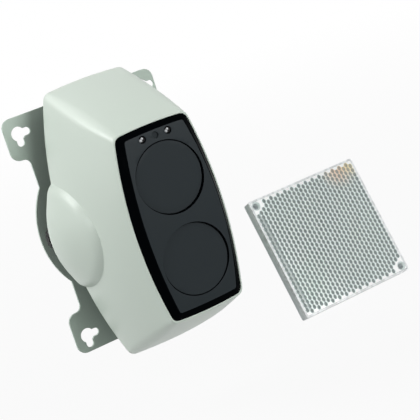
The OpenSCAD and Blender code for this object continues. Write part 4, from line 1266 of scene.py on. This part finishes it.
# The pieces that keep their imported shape


@dataclass
class Fittings:
    """The plate, pivot, chassis, boards and optics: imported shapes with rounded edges."""

    paints: Paintbox
    rounding: dict[str, float] = field(default_factory=lambda: {
        "wall_plate": 0.35, "pivot_bracket": 0.2, "pan_wheel_bracket": 0.2, "tilt_wheel_bracket": 0.2,
        "pivot_ring": 0.5, "pan_thumbwheel": 0.25, "tilt_thumbwheel": 0.25, "chassis": 0.3,
        "head_bracket": 0.2, "adjusting_nuts": 0.15,
        "relays": 0.3, "terminal_block": 0.2, "controller_chip": 0.15, "button_housing": 0.2,
        "alignment_button": 0.3, "mode_switch": 0.2, "capacitors": 0.3, "optical_moulding": 0.3})

    def build(self) -> None:
        """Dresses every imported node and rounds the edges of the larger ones."""
        self.paints.dress_nodes()
        for node, width in self.rounding.items():
            soften(node, width)
            LOG.info("%s: rounded by %.2f mm", node, width)


# The studio


@dataclass
class Studio:
    """The camera, the lamps, the pale floor and the white surroundings."""

    camera_at: Spot = (-0.41098, -1.02168, 0.21094)
    camera_turn: Spot = (1.351051, 0.302101, -0.512739)
    lens: float = 124.384
    sensor: float = 36.0
    clip: Flat = (0.05, 50.0)
    floor_z: float = -0.16
    floor_half: float = 4.0
    floor_tones: tuple[Colour, Colour] = ((0.42, 0.43, 0.43), (0.45, 0.46, 0.46))
    floor_white: float = 0.93
    floor_fade: float = 2400.0
    white: Colour = (1.0, 1.0, 1.0)
    sky: Colour = (0.97, 0.99, 1.0)
    ambient: float = 0.04
    lamp_size: float = 0.9
    lamp_reach: float = 2.0
    lamps_at: tuple[tuple[str, Flat, float], ...] = (
        ("left_high", (-115.0, 42.0), 18.6), ("left", (-70.0, 20.0), 8.4),
        ("left_low", (-110.0, 12.0), 3.0), ("left_back", (-150.0, 50.0), 4.5),
        ("front", (20.0, 15.0), 16.5), ("front_high", (25.0, 42.0), 4.8), ("top", (0.0, 72.0), 2.1),
        ("far_right", (110.0, 42.0), 1.8), ("back", (180.0, 55.0), 3.0))

    def build(self) -> None:
        """Sets up the whole studio."""
        self.camera()
        self.lamps()
        self.surroundings()
        self.floor()
        bpy.context.scene.view_settings.view_transform = "Standard"

    def camera(self) -> None:
        """The camera at the photograph's place."""
        data = bpy.data.cameras.new("camera")
        data.lens, data.sensor_width = self.lens, self.sensor
        data.clip_start, data.clip_end = self.clip
        camera = bpy.data.objects.new("camera", data)
        camera.location, camera.rotation_euler = self.camera_at, self.camera_turn
        bpy.context.scene.collection.objects.link(camera)
        bpy.context.scene.camera = camera

    def lamps(self) -> None:
        """Large soft lamps, each aimed at the part."""
        for name, (turn, rise), power in self.lamps_at:
            data = bpy.data.lights.new(name, "AREA")
            data.shape, data.size, data.energy = "DISK", self.lamp_size, power
            lamp = bpy.data.objects.new(name, data)
            a, e = math.radians(turn), math.radians(rise)
            away = Vector((math.cos(e) * math.sin(a), -math.cos(e) * math.cos(a), math.sin(e)))
            lamp.location = away * self.lamp_reach
            lamp.rotation_euler = away.to_track_quat("Z", "Y").to_euler()
            bpy.context.scene.collection.objects.link(lamp)

    def surroundings(self) -> None:
        """A pale world that the camera, metal and glass see as white."""
        world = bpy.data.worlds.new("studio")
        bpy.context.scene.world = world
        tree = Tree(world)
        dim = tree.node("ShaderNodeBackground", None, {"Color": self.sky, "Strength": self.ambient})
        white = tree.node("ShaderNodeBackground", None, {"Color": self.white, "Strength": 1.0})
        tree.end(tree.node("ShaderNodeMixShader", None, {0: tree.seen(), 1: dim, 2: white}))

    def floor(self) -> None:
        """A plain pale floor that keeps the part's shadow."""
        mesh = bpy.data.meshes.new("floor")
        corners = [(i * self.floor_half, j * self.floor_half, self.floor_z)
                   for i, j in ((-1, -1), (1, -1), (1, 1), (-1, 1))]
        mesh.from_pydata(corners, [], [(0, 1, 2, 3)])
        floor = bpy.data.objects.new("floor", mesh)
        bpy.context.scene.collection.objects.link(floor)
        tree = Tree(bpy.data.materials.new("floor_white"))
        matt = tree.node("ShaderNodeBsdfDiffuse", None,
                         {"Color": tree.blend(tree.noise(30.0, 2.0), *self.floor_tones)})
        white = tree.node("ShaderNodeEmission", None, {"Color": self.white, "Strength": 1.0})
        far = 1 - tree.nearness((0.0, 0.0, self.floor_z / MM), self.floor_fade)
        share = tree.seen() * (self.floor_white + far * (1 - self.floor_white))
        tree.end(tree.node("ShaderNodeMixShader", None, {0: share, 1: matt, 2: white}))
        mesh.materials.append(tree.owner)


def main() -> None:
    """Builds the studio and every sub-assembly."""
    logging.basicConfig(level=logging.INFO, format="%(message)s")
    Studio().build()
    paints = Paintbox()
    Fittings(paints).build()
    FrontCover(paints).build()
    Reflector(paints).build()
    Screws(paints).build()
    bpy.context.view_layer.update()


if __name__ == "__main__":
    main()
